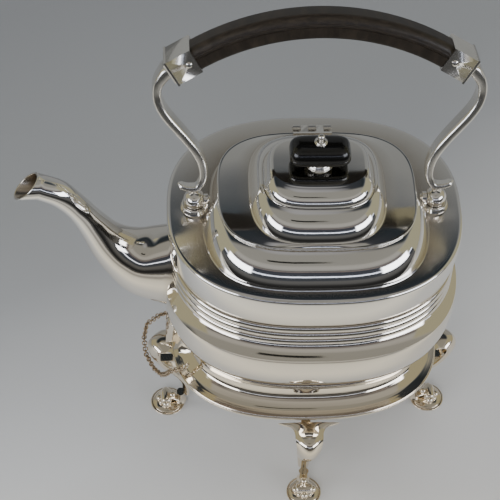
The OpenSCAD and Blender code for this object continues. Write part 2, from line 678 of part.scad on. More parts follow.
cup_h = 3.6;
module handle_lug(side) {
    color(silver) placed() on_side(side) difference() {
        union() {
            translate([ball_x, 0, shoulder_z]) rotate_extrude()
                polygon([[3, 0], [8.1, 0], [8.1, 0.9], [7.5, 1.3], [7.5, cup_h - 0.6],
                    [6.9, cup_h], [3, cup_h]]);
            translate([cheek_x - cheek_t, 0, 0]) rotate([90, 0, 90]) {
                linear_extrude(cheek_t) polygon([[-4.6, shoulder_z], [4.6, shoulder_z],
                    [3.2, pivot_z], [-3.2, pivot_z]]);
                translate([0, pivot_z, 0]) cylinder(r = 3.2, h = cheek_t);
            }
        }
        intersection() {
            translate([ball_x, 0, pivot_z]) sphere(r = ball_r + gap);
            translate([cheek_x, -ball_x, 0]) cube([ball_x, 2 * ball_x, 2 * pivot_z]);
        }
        translate([cheek_x - cheek_t - 1, 0, pivot_z]) rotate([0, 90, 0])
            cylinder(r = pivot_r + seat / 2, h = cheek_t + 2);
    }
}
module handle_pin(side) {
    color(silver) placed() on_side(side) translate([pin_head_x, 0, pivot_z])
        rotate([0, 90, 0]) {
            cylinder(r = pivot_r, h = ball_x + ball_r - 0.4 - pin_head_x);
            rotate_extrude() polygon([[0, 0], [1.3, 0], [2.1, 0.5], [2.1, pin_head_t - seat],
                [0, pin_head_t - seat]]);
        }
}

// ---------- stand ----------

// Outside of the stand as [offset from the lower edge, height below the collar's top]
stand_outer = [[0.1, 1], [0.35, 0.955], [0, 0.91], [-2.2, 0.78], [-4.2, 0.64], [-5.7, 0.51],
    [-6.6, 0.4], [-6.9, 0.36], [-6.5, 0.3], [-6.4, 0.22], [-6.8, 0.13], [-7.7, 0.06], [-9.2, 0.01],
    [-10.6, 0]];
stand_inner = [for (p = [[-10.6, 0.03], [-10.1, 0.12], [-7.9, 0.2], [-7.1, 0.36], [-5.8, 0.56],
    [-2.3, 0.8], [0.1, 1]]) [p[0] - stand_wall, p[1]]];
function stand_ring_at(p, extra = 0) = cushion(stand_half_w + p[0] + extra,
    stand_half_d + p[0] + extra, body_square, stand_top_z - p[1] * stand_drop);
// Outside of the stand above its flange's wire, to cut what is soldered to it
module stand_outside() { loft([for (i = [2:len(stand_outer) - 1]) stand_ring_at(stand_outer[i], seat)]); }
module stand_ring() {
    color(silver) placed()
        loft([for (p = concat(stand_outer, stand_inner)) stand_ring_at(p)], looped = true);
}

// ---------- legs and feet ----------

ankle_z = 11.95;
// Path of a leg's outer face as [distance from the foot's middle, height], top to ankle
leg_path = [[-6, stand_z - seat], [-1, stand_z - 0.1], [5, stand_z - 0.5],
    [knee_out - 3, stand_z - 2.6], [knee_out - 0.6, stand_z - 6.2],
    [knee_out, stand_z - 10.5], [knee_out - 2.6, stand_z - 20],
    [0.416 * knee_out, 0.615 * stand_z], [-0.096 * knee_out, 0.5135 * stand_z],
    [-0.528 * knee_out, 0.4054 * stand_z], [-0.768 * knee_out, 0.2973 * stand_z],
    [-0.8 * knee_out, ankle_z + seat]];
leg_widths = [2.35, 1.8, 1.3, 1.04, 0.98, 0.95, 0.9, 0.84, 0.76, 0.66, 0.54, 0.42];
leg_crowns = [0.1, 0.25, 0.4, 0.55, 0.62, 0.62, 0.6, 0.55, 0.5, 0.42, 0.36, 0.34];
leg_arc = 6;
module leg_shell() {
    k = len(leg_path) - 1;
    loft([for (i = [0:k]) let (p = leg_path[i], t = tangent(leg_path, i),
            w = leg_half * leg_widths[i], c = leg_half * leg_crowns[i],
            nx = -t[1], nz = t[0])
        concat(
            [for (j = [0:leg_arc]) let (u = 2 * j / leg_arc - 1, h = -c * u * u)
                [p[0] + nx * h, w * u, p[1] + nz * h]],
            [for (j = [leg_arc:-1:0]) let (u = 2 * j / leg_arc - 1,
                    h = -c * u * u - leg_wall)
                [p[0] + nx * h, (w - 0.5) * u, p[1] + nz * h]])]);
}
toe_r = 3.9;
module foot_cast() {
    // Domed pad
    rotate_extrude() polygon([[0, 0], [foot_r, 0], [foot_r, 1], [foot_r - 0.8, 1.8],
        [foot_r - 3, 2.9], [foot_r - 6, 3.6], [0, 4]]);
    // Scroll toe with its roll across, and the bead that ends it on each side
    translate([1, 0, 6.2]) rotate([90, 0, 0])
        cylinder(r = toe_r, h = 9.4, center = true);
    for (s = [-1, 1]) translate([1, s * 4.7, 6.2]) sphere(r = 2.6);
    translate([5.2, 0, 5]) sphere(r = 2.7);
    // Ankle that the leg stands on
    translate([-8.6, 0, 2.2]) cylinder(r = 3.2, h = ankle_z - 2.2);
    translate([-8, -2.4, 2.4]) cube([8, 4.8, 4.6]);
}
module at_foot(which) {
    turn = which == "left" ? 180 : which == "front" ? 270 : which == "back" ? 90 : 0;
    reach = which == "left" || which == "right" ? foot_x : foot_y;
    placed() rotate([0, 0, turn]) translate([reach, 0, 0]) children();
}
module leg(which) { color(silver) at_foot(which) leg_shell(); }
module foot(which) { color(silver) at_foot(which) foot_cast(); }

// ---------- tilt hinge, pin and chain ----------

ear_y = tilt_lug_t / 2 + gap;
lug_top_z = bulge_z - 6;
module tilt_lug() {
    color(silver) placed() difference() {
        translate([-tilt_x, tilt_lug_t / 2, 0]) rotate([90, 0, 0]) union() {
            translate([0, tilt_z, 0]) cylinder(r = tilt_ear_r, h = tilt_lug_t);
            linear_extrude(tilt_lug_t) polygon([[-tilt_ear_r, tilt_z], [tilt_ear_r, tilt_z],
                [tilt_ear_r + 3, lug_top_z], [-2, lug_top_z]]);
        }
        kettle_outside(0, bulge_z + 1);
        translate([-tilt_x, 20, tilt_z]) rotate([90, 0, 0]) cylinder(r = tilt_pin_r + run, h = 40);
    }
}
fork_foot_z = stand_z + 4;
module tilt_fork() {
    color(silver) placed() difference() {
        for (s = [-1, 1])
            translate([-tilt_x, s * (ear_y + tilt_ear_t / 2) + tilt_ear_t / 2, 0])
                rotate([90, 0, 0]) {
                    translate([0, tilt_z, 0]) cylinder(r = tilt_ear_r, h = tilt_ear_t);
                    linear_extrude(tilt_ear_t) polygon([[-tilt_ear_r, tilt_z],
                        [-tilt_ear_r - 0.6, fork_foot_z], [6, fork_foot_z], [6, tilt_z - 6],
                        [tilt_ear_r, tilt_z]]);
                }
        stand_outside();
        translate([-tilt_x, 20, tilt_z]) rotate([90, 0, 0])
            cylinder(r = tilt_pin_r + run, h = 40);
    }
}
pin_end_y = ear_y + tilt_ear_t;
pin_head_gap = 0.3;
pin_ring_r = 2.2;
module tilt_pin() {
    color(silver) placed() translate([-tilt_x, 0, tilt_z]) {
        translate([0, pin_end_y + pin_head_gap, 0]) rotate([90, 0, 0])
            cylinder(r = tilt_pin_r, h = 2 * pin_end_y + 1.6);
        translate([0, -pin_end_y - 1.3, 0]) sphere(r = tilt_pin_r);
        translate([0, pin_end_y + pin_head_gap + 1.2, 0]) rotate([90, 0, 0])
            cylinder(r = 2.7, h = 1.2);
        translate([0, pin_end_y + pin_head_gap + 3.1, 0]) rotate([0, 90, 0])
            rotate_extrude() translate([pin_ring_r, 0]) circle(r = 0.7, $fn = 16);
    }
}
// Eye of the chain, soldered to the flange in front of the left leg
eye_out = -5;
eye_y = -29.5;
eye_z = stand_z + 10;
eye_x = (stand_half_w + eye_out) * pow(1 - pow(-eye_y / (stand_half_d + eye_out), body_square),
    1 / body_square) + 2;
module chain_eye() {
    color(silver) placed() difference() {
        translate([-eye_x, eye_y, eye_z]) rotate([0, 0, 30]) rotate([90, 0, 0])
            rotate_extrude() translate([1.9, 0]) circle(r = 0.6, $fn = 16);
        stand_outside();
    }
}
// The chain hangs from the pin behind the knee and rises to its eye in front: chosen points
chain_route = [[-tilt_x, 9.85, tilt_z - 5.1], [-85.5, 11, 87], [-93, 13.5, 80], [-101, 13, 71.5],
    [-103, 10, 60], [-102, 3, 52], [-97, -8, 51.5], [-92, -18, 58], [-88.5, -25, 69],
    [-86.5, -28.5, 77], [-eye_x - 3.6, eye_y - 1.2, eye_z - 1.5]];
function route_len(i) = i == 0 ? 0
    : route_len(i - 1) + norm(chain_route[i] - chain_route[i - 1]);
function route_at(d, i = 1) = i == len(chain_route) - 1 || d <= route_len(i)
    ? let (a = chain_route[i - 1], b = chain_route[i])
        a + (b - a) * (d - route_len(i - 1)) / norm(b - a)
    : route_at(d, i + 1);
link_pitch = 2 * chain_link_r - 2 * chain_wire_r - 0.1;
module pin_chain() {
    links = floor(route_len(len(chain_route) - 1) / link_pitch);
    color(silver) placed() for (i = [0:links])
        let (p = route_at(i * link_pitch), q = route_at(i * link_pitch + 0.5), d = q - p,
            turn = atan2(d[1], d[0]), lean = atan2(d[2], norm([d[0], d[1]])))
        translate(p) rotate([0, -lean, turn]) rotate([i % 2 == 0 ? 45 : -45, 0, 0])
            rotate_extrude($fn = 24) translate([chain_link_r, 0]) circle(r = chain_wire_r, $fn = 13);
}

// ---------- burner ----------

ring_h = 6;
ring_wall = 1.6;
ring_bore = bowl_r + 0.5;
module burner_ring() {
    color(silver) placed() translate([0, 0, burner_ring_z - ring_h]) difference() {
        cylinder(r = ring_bore + ring_wall, h = ring_h, $fn = 72);
        translate([0, 0, -1]) cylinder(r = ring_bore, h = ring_h + 2, $fn = 72);
    }
}
// Four stays carry the ring from the stand's legs
stay_w = 6;
stay_t = 1.8;
stay_z = burner_ring_z - stay_t - 1;
// How far a stay's end keeps behind a leg's curved wall
stay_back = 1.2;
// Outer face of a leg at height z, measured from the foot's middle
function leg_face(z) =
    lookup(z, [for (i = [5:len(leg_path) - 1]) [leg_path[i][1], leg_path[i][0]]]);
module burner_stays() {
    color(silver) placed() for (turn = [0:90:270])
        rotate([0, 0, turn]) let (reach = turn % 180 == 0 ? foot_x : foot_y,
                x0 = ring_bore + ring_wall + seat,
                x1 = reach + leg_face(stay_z) - 1.3 * leg_wall - stay_back)
            translate([x0, -stay_w / 2, stay_z]) cube([x1 - x0, stay_w, stay_t]);
}
bowl_z = burner_ring_z - bowl_h + 4;
module burner_bowl() {
    lip = 1.8;
    color(silver) placed() translate([0, 0, bowl_z]) difference() {
        rotate_extrude($fn = 72) polygon(concat([[0, 0], [bowl_r - 8, 0]],
            [for (t = [15:15:75]) [bowl_r - 8 + 8 * sin(t), 8 - 8 * cos(t)]],
            [[bowl_r, 8], [bowl_r, bowl_h - 4 + gap], [bowl_r + lip, bowl_h - 4 + gap],
            [bowl_r + lip, bowl_h - 3], [bowl_r, bowl_h - 2], [12, bowl_h], [0, bowl_h]]));
        translate([0, 0, 1.4]) rotate_extrude($fn = 72) polygon([[0, 0], [bowl_r - 8, 0],
            [bowl_r - 1.4, 8], [bowl_r - 1.4, bowl_h - 6], [12, bowl_h - 3.2], [0, bowl_h - 3.2]]);
        translate([0, 0, bowl_h - 8]) cylinder(r = wick_tube_r + 1.2 + seat, h = 12);
    }
}
collar_z = bowl_z + bowl_h;
module burner_collar() {
    color(silver) placed() translate([0, 0, collar_z]) difference() {
        union() {
            translate([0, 0, -5]) cylinder(r = wick_tube_r + 1.2, h = 5.1);
            translate([0, 0, seat]) cylinder(r = wick_tube_r + 3.4, h = 2.4);
            translate([0, 0, 2.4]) cylinder(r = wick_tube_r, h = 5);
        }
        translate([0, 0, -6]) cylinder(r = wick_tube_r - 1, h = 20);
    }
}
module burner_wick() {
    color("#e8e0cc") placed() translate([0, 0, bowl_z + 3])
        cylinder(r = wick_tube_r - 1 - seat, h = bowl_h + 3.6);
}
// Cap that puts the flame out, standing over the wick tube
snuffer_z = collar_z + 2.4 + seat + gap;
module snuffer() {
    r = wick_tube_r + 0.5;
    color(silver) placed() translate([0, 0, snuffer_z]) {
        difference() {
            rotate_extrude() polygon(concat([[0, 0], [r + 1.9, 0], [r + 1.9, 1.2], [r + 1.2, 1.6],
                [r + 1.2, 5]], [for (t = [15:15:75]) [(r + 1.2) * cos(t), 5 + 3.6 * sin(t)]],
                [[0, 8.6]]));
            translate([0, 0, -1]) cylinder(r = r, h = 7);
        }
        translate([0, 0, 8.2]) cylinder(r = 1.3, h = 2);
        translate([0, 0, 11.4]) sphere(r = 2);
    }
}

// ---------- drawing ----------

stand_ring();
leg("front");  // leg_front
leg("back");  // leg_back
leg("left");  // leg_left
leg("right");  // leg_right
foot("front");  // foot_front
foot("back");  // foot_back
foot("left");  // foot_left
foot("right");  // foot_right
tilt_fork();
chain_eye();
pin_chain();
tilt_pin();
burner_ring();
burner_stays();
burner_bowl();
burner_collar();
burner_wick();
snuffer();
kettle_body();
kettle_shoulder();
spout();
tilt_lug();
lid_hinge_leaf();
lid_hinge_pin();
handle_lug(-1);  // handle_lug_left
handle_lug(1);  // handle_lug_right
handle_pin(-1);  // handle_pin_left
handle_pin(1);  // handle_pin_right
lid_shell();
lid_skirt();
lid_knuckles();
finial_collar();
finial_knob();
finial_stud();
finial_nut();
handle_arm(-1);  // handle_arm_left
handle_arm(1);  // handle_arm_right
handle_ball(-1);  // handle_ball_left
handle_ball(1);  // handle_ball_right
handle_socket(-1);  // handle_socket_left
handle_socket(1);  // handle_socket_right
handle_grip();
grip_rivets();
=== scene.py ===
import math

import bmesh
import bpy
import numpy as np
from mathutils import Matrix, Vector


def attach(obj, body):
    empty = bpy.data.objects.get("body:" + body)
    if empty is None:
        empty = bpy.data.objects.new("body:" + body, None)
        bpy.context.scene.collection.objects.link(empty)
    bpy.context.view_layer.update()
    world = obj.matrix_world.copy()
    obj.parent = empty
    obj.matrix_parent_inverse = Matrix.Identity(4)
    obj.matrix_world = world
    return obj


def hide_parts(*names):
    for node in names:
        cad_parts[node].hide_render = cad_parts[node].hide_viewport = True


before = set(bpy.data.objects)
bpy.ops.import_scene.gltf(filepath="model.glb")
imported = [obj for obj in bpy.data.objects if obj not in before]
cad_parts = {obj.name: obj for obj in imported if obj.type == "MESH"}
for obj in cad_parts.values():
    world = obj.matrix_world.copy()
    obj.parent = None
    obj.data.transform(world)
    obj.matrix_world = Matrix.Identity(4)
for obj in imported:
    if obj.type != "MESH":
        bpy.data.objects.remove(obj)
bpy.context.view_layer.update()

# ---------------------------------------------------------------------------
# Camera: looks down on the kettle from the front, a little from its left, as
# a photographer standing over the table does. Sizes are millimetres over the
# kettle's own middle, which lies to the right of the object's origin.
# ---------------------------------------------------------------------------
MM = 0.001
KETTLE_X = 37.75
view_azimuth, view_elevation, view_roll = (math.radians(v) for v in (-4.26, 51.36, 2.65))
view_distance, view_focal_px, photo_px = 1100.0, 1809.75, 500.0
view_aim = Vector((-36.98 + KETTLE_X, 0.0, 163.52)) * MM
toward_camera = Vector((math.sin(view_azimuth) * math.cos(view_elevation),
                        -math.cos(view_azimuth) * math.cos(view_elevation),
                        math.sin(view_elevation)))
level_right = Vector((math.cos(view_azimuth), math.sin(view_azimuth), 0.0))
level_up = toward_camera.cross(level_right)
right = level_right * math.cos(view_roll) + level_up * math.sin(view_roll)
up = level_up * math.cos(view_roll) - level_right * math.sin(view_roll)


def placed(name, data):
    """A new object in the scene."""
    made = bpy.data.objects.new(name, data)
    bpy.context.scene.collection.objects.link(made)
    return made


camera = placed("camera", bpy.data.cameras.new("camera"))
sensor_width = 36.0
camera.data.sensor_width = sensor_width
camera.data.lens = view_focal_px * sensor_width / photo_px
camera.data.clip_start, camera.data.clip_end = 0.05, 20.0
camera.matrix_world = Matrix((right, up, toward_camera)).transposed().to_4x4()
camera.location = view_aim + toward_camera * view_distance * MM
bpy.context.scene.camera = camera


# ---------------------------------------------------------------------------
# Studio: a pale table top that runs back out of sight, in a dim grey room, with
# painted light on it: painted falloff toward the back, painted shadow toward the
# left and painted light and dark bands in front. The silver mirrors a light strip,
# two soft boxes and cream cards at the sides, the lens in its dark slot in front,
# and a slate-blue ceiling behind the kettle.
# ---------------------------------------------------------------------------
class Wire:
    """A node's output that takes part in Python sums."""

    def __init__(self, paint, socket):
        self.paint, self.socket = paint, socket

    def sum(self, operation, *values):
        return self.paint.wire("ShaderNodeMath", {"operation": operation}, list(values))

    def __add__(self, other): return self.sum("ADD", self, other)
    def __radd__(self, other): return self.sum("ADD", other, self)
    def __sub__(self, other): return self.sum("SUBTRACT", self, other)
    def __rsub__(self, other): return self.sum("SUBTRACT", other, self)
    def __mul__(self, other): return self.sum("MULTIPLY", self, other)
    def __truediv__(self, other): return self.sum("DIVIDE", self, other)
    def clamp(self): return self.sum("MINIMUM", self.sum("MAXIMUM", self, 0.0), 1.0)
    def size(self): return self.sum("ABSOLUTE", self)

    def step(self, low, high):
        return self.paint.wire("ShaderNodeMapRange", {"interpolation_type": "SMOOTHSTEP"},
                               {"Value": self, "From Min": low, "From Max": high}, "Result")


class Paint:
    """A node tree that is written as expressions."""

    def __init__(self, tree):
        self.tree = tree
        tree.nodes.clear()

    def node(self, kind, settings=None, inputs=None):
        made = self.tree.nodes.new(kind)
        for key, value in (settings or {}).items():
            if key == "stops":
                ramp = made.color_ramp.elements
                while len(ramp) < len(value):
                    ramp.new(1.0)
                for stop, (place, colour) in zip(ramp, value):
                    stop.position, stop.color = place, (*colour, 1.0)
            else:
                setattr(made, key, value)
        pairs = enumerate(inputs) if isinstance(inputs, list) else (inputs or {}).items()
        for key, value in pairs:
            if isinstance(value, Wire):
                self.tree.links.new(value.socket, made.inputs[key])
            elif hasattr(value, "node"):
                self.tree.links.new(value, made.inputs[key])
            else:
                made.inputs[key].default_value = value
        return made

    def wire(self, kind, settings=None, inputs=None, output=0):
        return Wire(self, self.node(kind, settings, inputs).outputs[output])

    def blend(self, factor, first, second):
        return self.wire("ShaderNodeMix", {"data_type": "RGBA"},
                         {0: factor, 6: first, 7: second}, 2)

    def fibres(self, place, stretch, looks):
        """Noise drawn out one way, as grain and polishing marks are."""
        drawn = self.node("ShaderNodeMapping", None, {"Vector": place, "Scale": stretch})
        return self.wire("ShaderNodeTexNoise", None, {"Vector": drawn.outputs[0], **looks})

    def surface(self, looks):
        """Ends a material in one shader."""
        shader = self.node("ShaderNodeBsdfPrincipled", None, looks)
        self.node("ShaderNodeOutputMaterial", None, {"Surface": shader.outputs[0]})


def new_finish(name):
    """A material, and the Paint that fills it."""
    made = bpy.data.materials.new(name)
    made.use_nodes = True
    return made, Paint(made.node_tree)


world = bpy.data.worlds.new("light_tent")
bpy.context.scene.world = world
world.use_nodes = True
sky = Paint(world.node_tree)
gaze = sky.node("ShaderNodeTexCoord").outputs["Generated"]
axes = sky.node("ShaderNodeSeparateXYZ", None, [gaze])
east, north, high = (Wire(sky, axes.outputs[i]) for i in range(3))
GLARE = 6.0  # a ramp holds tones up to 1, so they are divided by it and made up at the end


def zones(stops):
    """A tone for each height of the gaze, from straight down (-1) to straight up (1)."""
    spread = [((level + 1.0) / 2.0, tuple(v / GLARE for v in tone)) for level, tone in stops]
    return sky.node("ShaderNodeValToRGB", {"stops": spread}, [(high + 1.0) * 0.5]).outputs[0]


front_side = (0.0 - north).step(-0.08, 0.1)
tent_front = zones((
    (-1.0, (0.30, 0.30, 0.29)), (-0.41, (0.30, 0.30, 0.29)), (-0.34, (0.18, 0.18, 0.17)),
    (-0.29, (0.08, 0.08, 0.08)), (-0.23, (0.017, 0.017, 0.017)), (-0.14, (0.03, 0.03, 0.03)),
    (-0.05, (0.10, 0.10, 0.10)), (0.05, (0.12, 0.12, 0.12)), (0.10, (0.05, 0.055, 0.065)),
    (0.225, (0.05, 0.055, 0.065)), (0.235, (1.9, 2.05, 2.5)), (0.27, (1.9, 2.05, 2.5)),
    (0.285, (0.06, 0.065, 0.08)), (0.45, (0.045, 0.05, 0.065)), (0.465, (0.24, 0.20, 0.19)),
    (0.49, (0.20, 0.18, 0.17)), (0.51, (0.09, 0.09, 0.10)), (0.545, (0.34, 0.33, 0.31)),
    (0.62, (0.42, 0.41, 0.385)), (0.70, (0.38, 0.37, 0.345)), (0.74, (0.29, 0.285, 0.26)),
    (0.985, (0.28, 0.275, 0.25)), (1.0, (0.34, 0.34, 0.35))))
room_behind = zones((
    (-1.0, (0.30, 0.30, 0.30)), (0.45, (0.27, 0.28, 0.28)), (0.715, (0.23, 0.235, 0.23)),
    (0.745, (0.15, 0.155, 0.16)), (0.762, (0.08, 0.087, 0.094)), (0.785, (0.045, 0.055, 0.065)),
    (0.81, (0.022, 0.028, 0.034)), (0.96, (0.04, 0.043, 0.05)), (1.0, (0.34, 0.34, 0.35))))
turn = north / (east.size() + 0.0001)
side_card = (turn.step(-0.5, -0.4) * (1.0 - turn.step(0.75, 0.85)) * (1.0 - high.step(0.68, 0.74))
             * (high + turn.step(-0.15, 0.0) * 0.6).step(0.25, 0.32))
soft_box = (turn.step(-1.7, -1.5) * (1.0 - turn.step(-0.35, -0.27))
            * high.step(0.13, 0.16) * (1.0 - high.step(0.40, 0.44)))
lens_slot = ((1.0 - (east + 0.05).size().step(0.13, 0.15))
             * (1.0 - (high - 0.83).size().step(0.018, 0.03)) * front_side)
tent_colour = sky.blend(front_side, room_behind, tent_front)
tent_colour = sky.blend(side_card, tent_colour, (0.38 / GLARE, 0.36 / GLARE, 0.25 / GLARE, 1.0))
tent_colour = sky.blend(soft_box, tent_colour, (0.80, 0.83, 0.90, 1.0))
tent_colour = sky.blend(lens_slot, tent_colour, (0.002, 0.002, 0.002, 1.0))
glow = sky.node("ShaderNodeBackground", None, {"Color": tent_colour, "Strength": GLARE})
sky.node("ShaderNodeOutputWorld", None, {"Surface": glow.outputs[0]})

table_side, table_front, table_back = 3.0, -0.46, 3.0
table = placed("table_top", bpy.data.meshes.new("table_top"))
table.data.from_pydata([(-table_side, table_front, 0), (table_side, table_front, 0),
                        (table_side, table_back, 0), (-table_side, table_back, 0)],
                       [], [(0, 1, 2, 3)])
table_paint, lacquer = new_finish("pale_table")
spot = lacquer.node("ShaderNodeTexCoord").outputs["Object"]
spot_axes = lacquer.node("ShaderNodeSeparateXYZ", None, [spot])
across_table, down_table = (Wire(lacquer, spot_axes.outputs[i]) for i in (0, 1))
# painted light in front of the kettle, seen only in the silver's reflections: a bright band and a
# painted dark band across the table
near_painted_light_stops = [(0.0, (0.48, 0.46, 0.42)), (0.12, (0.48, 0.46, 0.42)), (0.155, (0.26, 0.255, 0.24)),
              (0.20, (0.28, 0.27, 0.25)), (0.25, (0.68, 0.655, 0.58)), (0.35, (0.88, 0.85, 0.76)),
              (0.44, (0.66, 0.655, 0.63))]
# painted falloff and painted shadow: the table darkens toward the back and toward the left
far_painted_falloff_stops = [(0.35, (0.68, 0.68, 0.68)), (0.50, (0.64, 0.65, 0.66)), (0.67, (0.345, 0.355, 0.37)),
             (0.75, (0.30, 0.31, 0.32)), (0.96, (0.235, 0.243, 0.255))]
near_painted_light = lacquer.node("ShaderNodeValToRGB", {"stops": near_painted_light_stops},
                         [down_table + 0.5]).outputs[0]
far_painted_falloff = lacquer.node("ShaderNodeValToRGB", {"stops": far_painted_falloff_stops},
                        [down_table - across_table * 0.5 + 0.5]).outputs[0]
table_painted_light = lacquer.blend(down_table.step(-0.12, -0.05), near_painted_light, far_painted_falloff)
lacquer.surface({"Base Color": table_painted_light, "Roughness": 0.55})
table.data.materials.append(table_paint)

lamp_aim = Vector((0.0, 0.0, 0.12))
for lamp_name, place, size, watts, tint in (
        ("soft_front", (-0.5, -1.3, 1.3), 1.0, 14.0, (1.0, 0.98, 0.95)),
        ("soft_left", (-1.5, 0.2, 1.0), 0.9, 8.0, (0.93, 0.96, 1.0)),
        ("soft_top", (0.3, 0.3, 1.9), 1.2, 10.0, (1.0, 1.0, 1.0))):
    lamp = placed(lamp_name, bpy.data.lights.new(lamp_name, "AREA"))
    lamp.data.size, lamp.data.energy, lamp.data.color = size, watts, tint
    lamp.location = place
    lamp.rotation_euler = (lamp_aim - Vector(place)).to_track_quat("-Z", "Y").to_euler()
    lamp.visible_glossy = False


# ---------------------------------------------------------------------------
# Kettle body: an oblong cushion of raised silver sheet, with a flat shoulder, a
# plain band, three reeds, and a shelf turned out over a swelling roll. A dome
# rises from the shoulder, bombe in front and drawn in straight elsewhere.
# ---------------------------------------------------------------------------
def squared(values, power):
    """A circle's cosines or sines, drawn out towards a square's corners."""
    return np.sign(values) * np.abs(values) ** power


def even_angles(count, half_w, half_d, square):
    """Angles whose points lie evenly spaced round a superellipse."""
    t = np.linspace(0.0, 2.0 * np.pi, 24001)
    x = half_w * squared(np.cos(t), 2.0 / square)
    y = half_d * squared(np.sin(t), 2.0 / square)
    along = np.concatenate([[0.0], np.cumsum(np.hypot(np.diff(x), np.diff(y)))])
    return np.interp(np.arange(count) / count * along[-1], along, t)


def cushion(angles, half_w, half_d, square, height, middle_y=0.0):
    """A level ring of points round a superellipse."""
    return np.stack([half_w * squared(np.cos(angles), 2.0 / square),
                     middle_y + half_d * squared(np.sin(angles), 2.0 / square),
                     np.full(len(angles), height)], axis=1)


def smooth_rows(rows, count):
    """Centripetal Catmull-Rom through rows of numbers, count rows evenly spread."""
    rows = np.asarray(rows, dtype=float)
    ext = np.vstack([2 * rows[0] - rows[1], rows, 2 * rows[-1] - rows[-2]])
    gaps = np.linalg.norm(np.diff(ext[:, :2], axis=0), axis=1) ** 0.5
    knots = np.concatenate([[0.0], np.cumsum(np.maximum(gaps, 1e-6))])
    out = []
    for u in np.linspace(knots[1], knots[-2], count):
        i = int(np.clip(np.searchsorted(knots, u) - 1, 1, len(rows) - 1))
        t0, t1, t2, t3 = knots[i - 1:i + 3]
        p0, p1, p2, p3 = ext[i - 1:i + 3]
        a1 = (t1 - u) / (t1 - t0) * p0 + (u - t0) / (t1 - t0) * p1
        a2 = (t2 - u) / (t2 - t1) * p1 + (u - t1) / (t2 - t1) * p2
        a3 = (t3 - u) / (t3 - t2) * p2 + (u - t2) / (t3 - t2) * p3
        b1 = (t2 - u) / (t2 - t0) * a1 + (u - t0) / (t2 - t0) * a2
        b2 = (t3 - u) / (t3 - t1) * a2 + (u - t1) / (t3 - t1) * a3
        out.append((t2 - u) / (t2 - t1) * b1 + (u - t1) / (t2 - t1) * b2)
    return np.array(out)


def skin(name, rings, looped=False, grime=None, sharp=35.0):
    """A mesh through equal rings in millimetres, closed at its ends unless it is looped."""
    rings = np.asarray(rings, dtype=float)
    count, around = rings.shape[:2]
    points = rings.reshape(-1, 3) * MM + np.array([KETTLE_X * MM, 0.0, 0.0])
    rows = count if looped else count - 1
    a = np.arange(rows)[:, None] * around + np.arange(around)[None, :]
    b = np.arange(rows)[:, None] * around + (np.arange(around)[None, :] + 1) % around
    total = count * around
    faces = np.stack([a, b, (b + around) % total, (a + around) % total], axis=-1)
    faces = faces.reshape(-1, 4).tolist()
    if not looped:
        faces.append(list(range(around))[::-1])
        faces.append(list(range(total - around, total)))
    mesh = bpy.data.meshes.new(name)
    mesh.from_pydata(points.tolist(), [], faces)
    # each ring's share of brown tarnish and painted shade, kept as a point attribute
    tarnish_and_shade_values = mesh.attributes.new("grime", "FLOAT", "POINT")
    values = np.repeat(np.zeros(count) if grime is None else np.asarray(grime, float), around)
    tarnish_and_shade_values.data.foreach_set("value", values)
    uv = mesh.uv_layers.new(name="UVMap")
    steps = np.linalg.norm(np.diff(rings.mean(axis=1), axis=0), axis=1)
    rise = np.concatenate([[0.0], np.cumsum(steps)]) * MM
    loop_points = np.zeros(len(mesh.loops), dtype=int)
    mesh.loops.foreach_get("vertex_index", loop_points)
    flat = np.stack([(loop_points % around) / around, rise[loop_points // around]], axis=1)
    uv.data.foreach_set("uv", flat.ravel())
    solid = bmesh.new()
    solid.from_mesh(mesh)
    bmesh.ops.recalc_face_normals(solid, faces=solid.faces)
    solid.to_mesh(mesh)
    solid.free()
    mesh.shade_smooth()
    mesh.set_sharp_from_angle(angle=math.radians(sharp))
    return placed(name, mesh)


def silver(name, tone=(0.93, 0.905, 0.86), rough=0.045, worn=1.0):
    """Polished sterling: clear where it is rubbed, brown where polish gathers, and darkened by painted
    shade in recesses, at joints and over insides.
    """
    made, p = new_finish(name)
    place = p.node("ShaderNodeTexCoord").outputs["Object"]
    grime = p.wire("ShaderNodeAttribute", {"attribute_name": "grime"}, None, "Fac")
    cloud = p.wire("ShaderNodeTexNoise", None,
                   {"Vector": place, "Scale": 28.0, "Detail": 4.0, "Roughness": 0.6})
    streak = p.fibres(place, (60.0, 60.0, 900.0), {"Scale": 3.0, "Detail": 5.0})
    fine = p.wire("ShaderNodeTexNoise", None,
                  {"Vector": place, "Scale": 1400.0, "Detail": 2.0, "Roughness": 0.7})
    # the per-ring share browns and roughens the metal: real polish residue in the hollows, and painted
    # shade in recesses, at joints and over the insides
    tarnish_and_shade_mask = (grime * (0.55 + cloud * 0.6)).clamp()
    film = cloud.step(0.52, 0.8) * 0.16 * worn
    # deep is the brown-dark colour of both the tarnish and the painted shade
    deep = tuple(v * w for v, w in zip(tone, (0.42, 0.33, 0.22)))
    mist = tuple(v * w for v, w in zip(tone, (0.93, 0.90, 0.82)))
    warm = tuple(v * w for v, w in zip(tone, (0.93, 0.84, 0.69)))
    colour = p.blend(film, (*tone, 1.0), (*mist, 1.0))
    # metres over the table: warmer from the shoulder down, and warmer again on the stand
    level = Wire(p, p.node("ShaderNodeSeparateXYZ", None, [place]).outputs[2])
    low = (1.0 - level.step(0.165, 0.205)) * 0.4 + (1.0 - level.step(0.078, 0.10)) * 0.35
    colour = p.blend(low, colour, (*warm, 1.0))
    colour = p.blend(tarnish_and_shade_mask, colour, (*deep, 1.0))
    roughness = rough + cloud * 0.03 * worn + tarnish_and_shade_mask * 0.3 + streak.step(0.6, 0.8) * 0.03
    bump = p.node("ShaderNodeBump", None, {"Strength": 0.02 * worn, "Distance": 0.0002,
                                          "Height": fine + streak * 0.6})
    p.surface({"Base Color": colour, "Metallic": 1.0, "Roughness": roughness,
               "Normal": bump.outputs[0]})
    return made


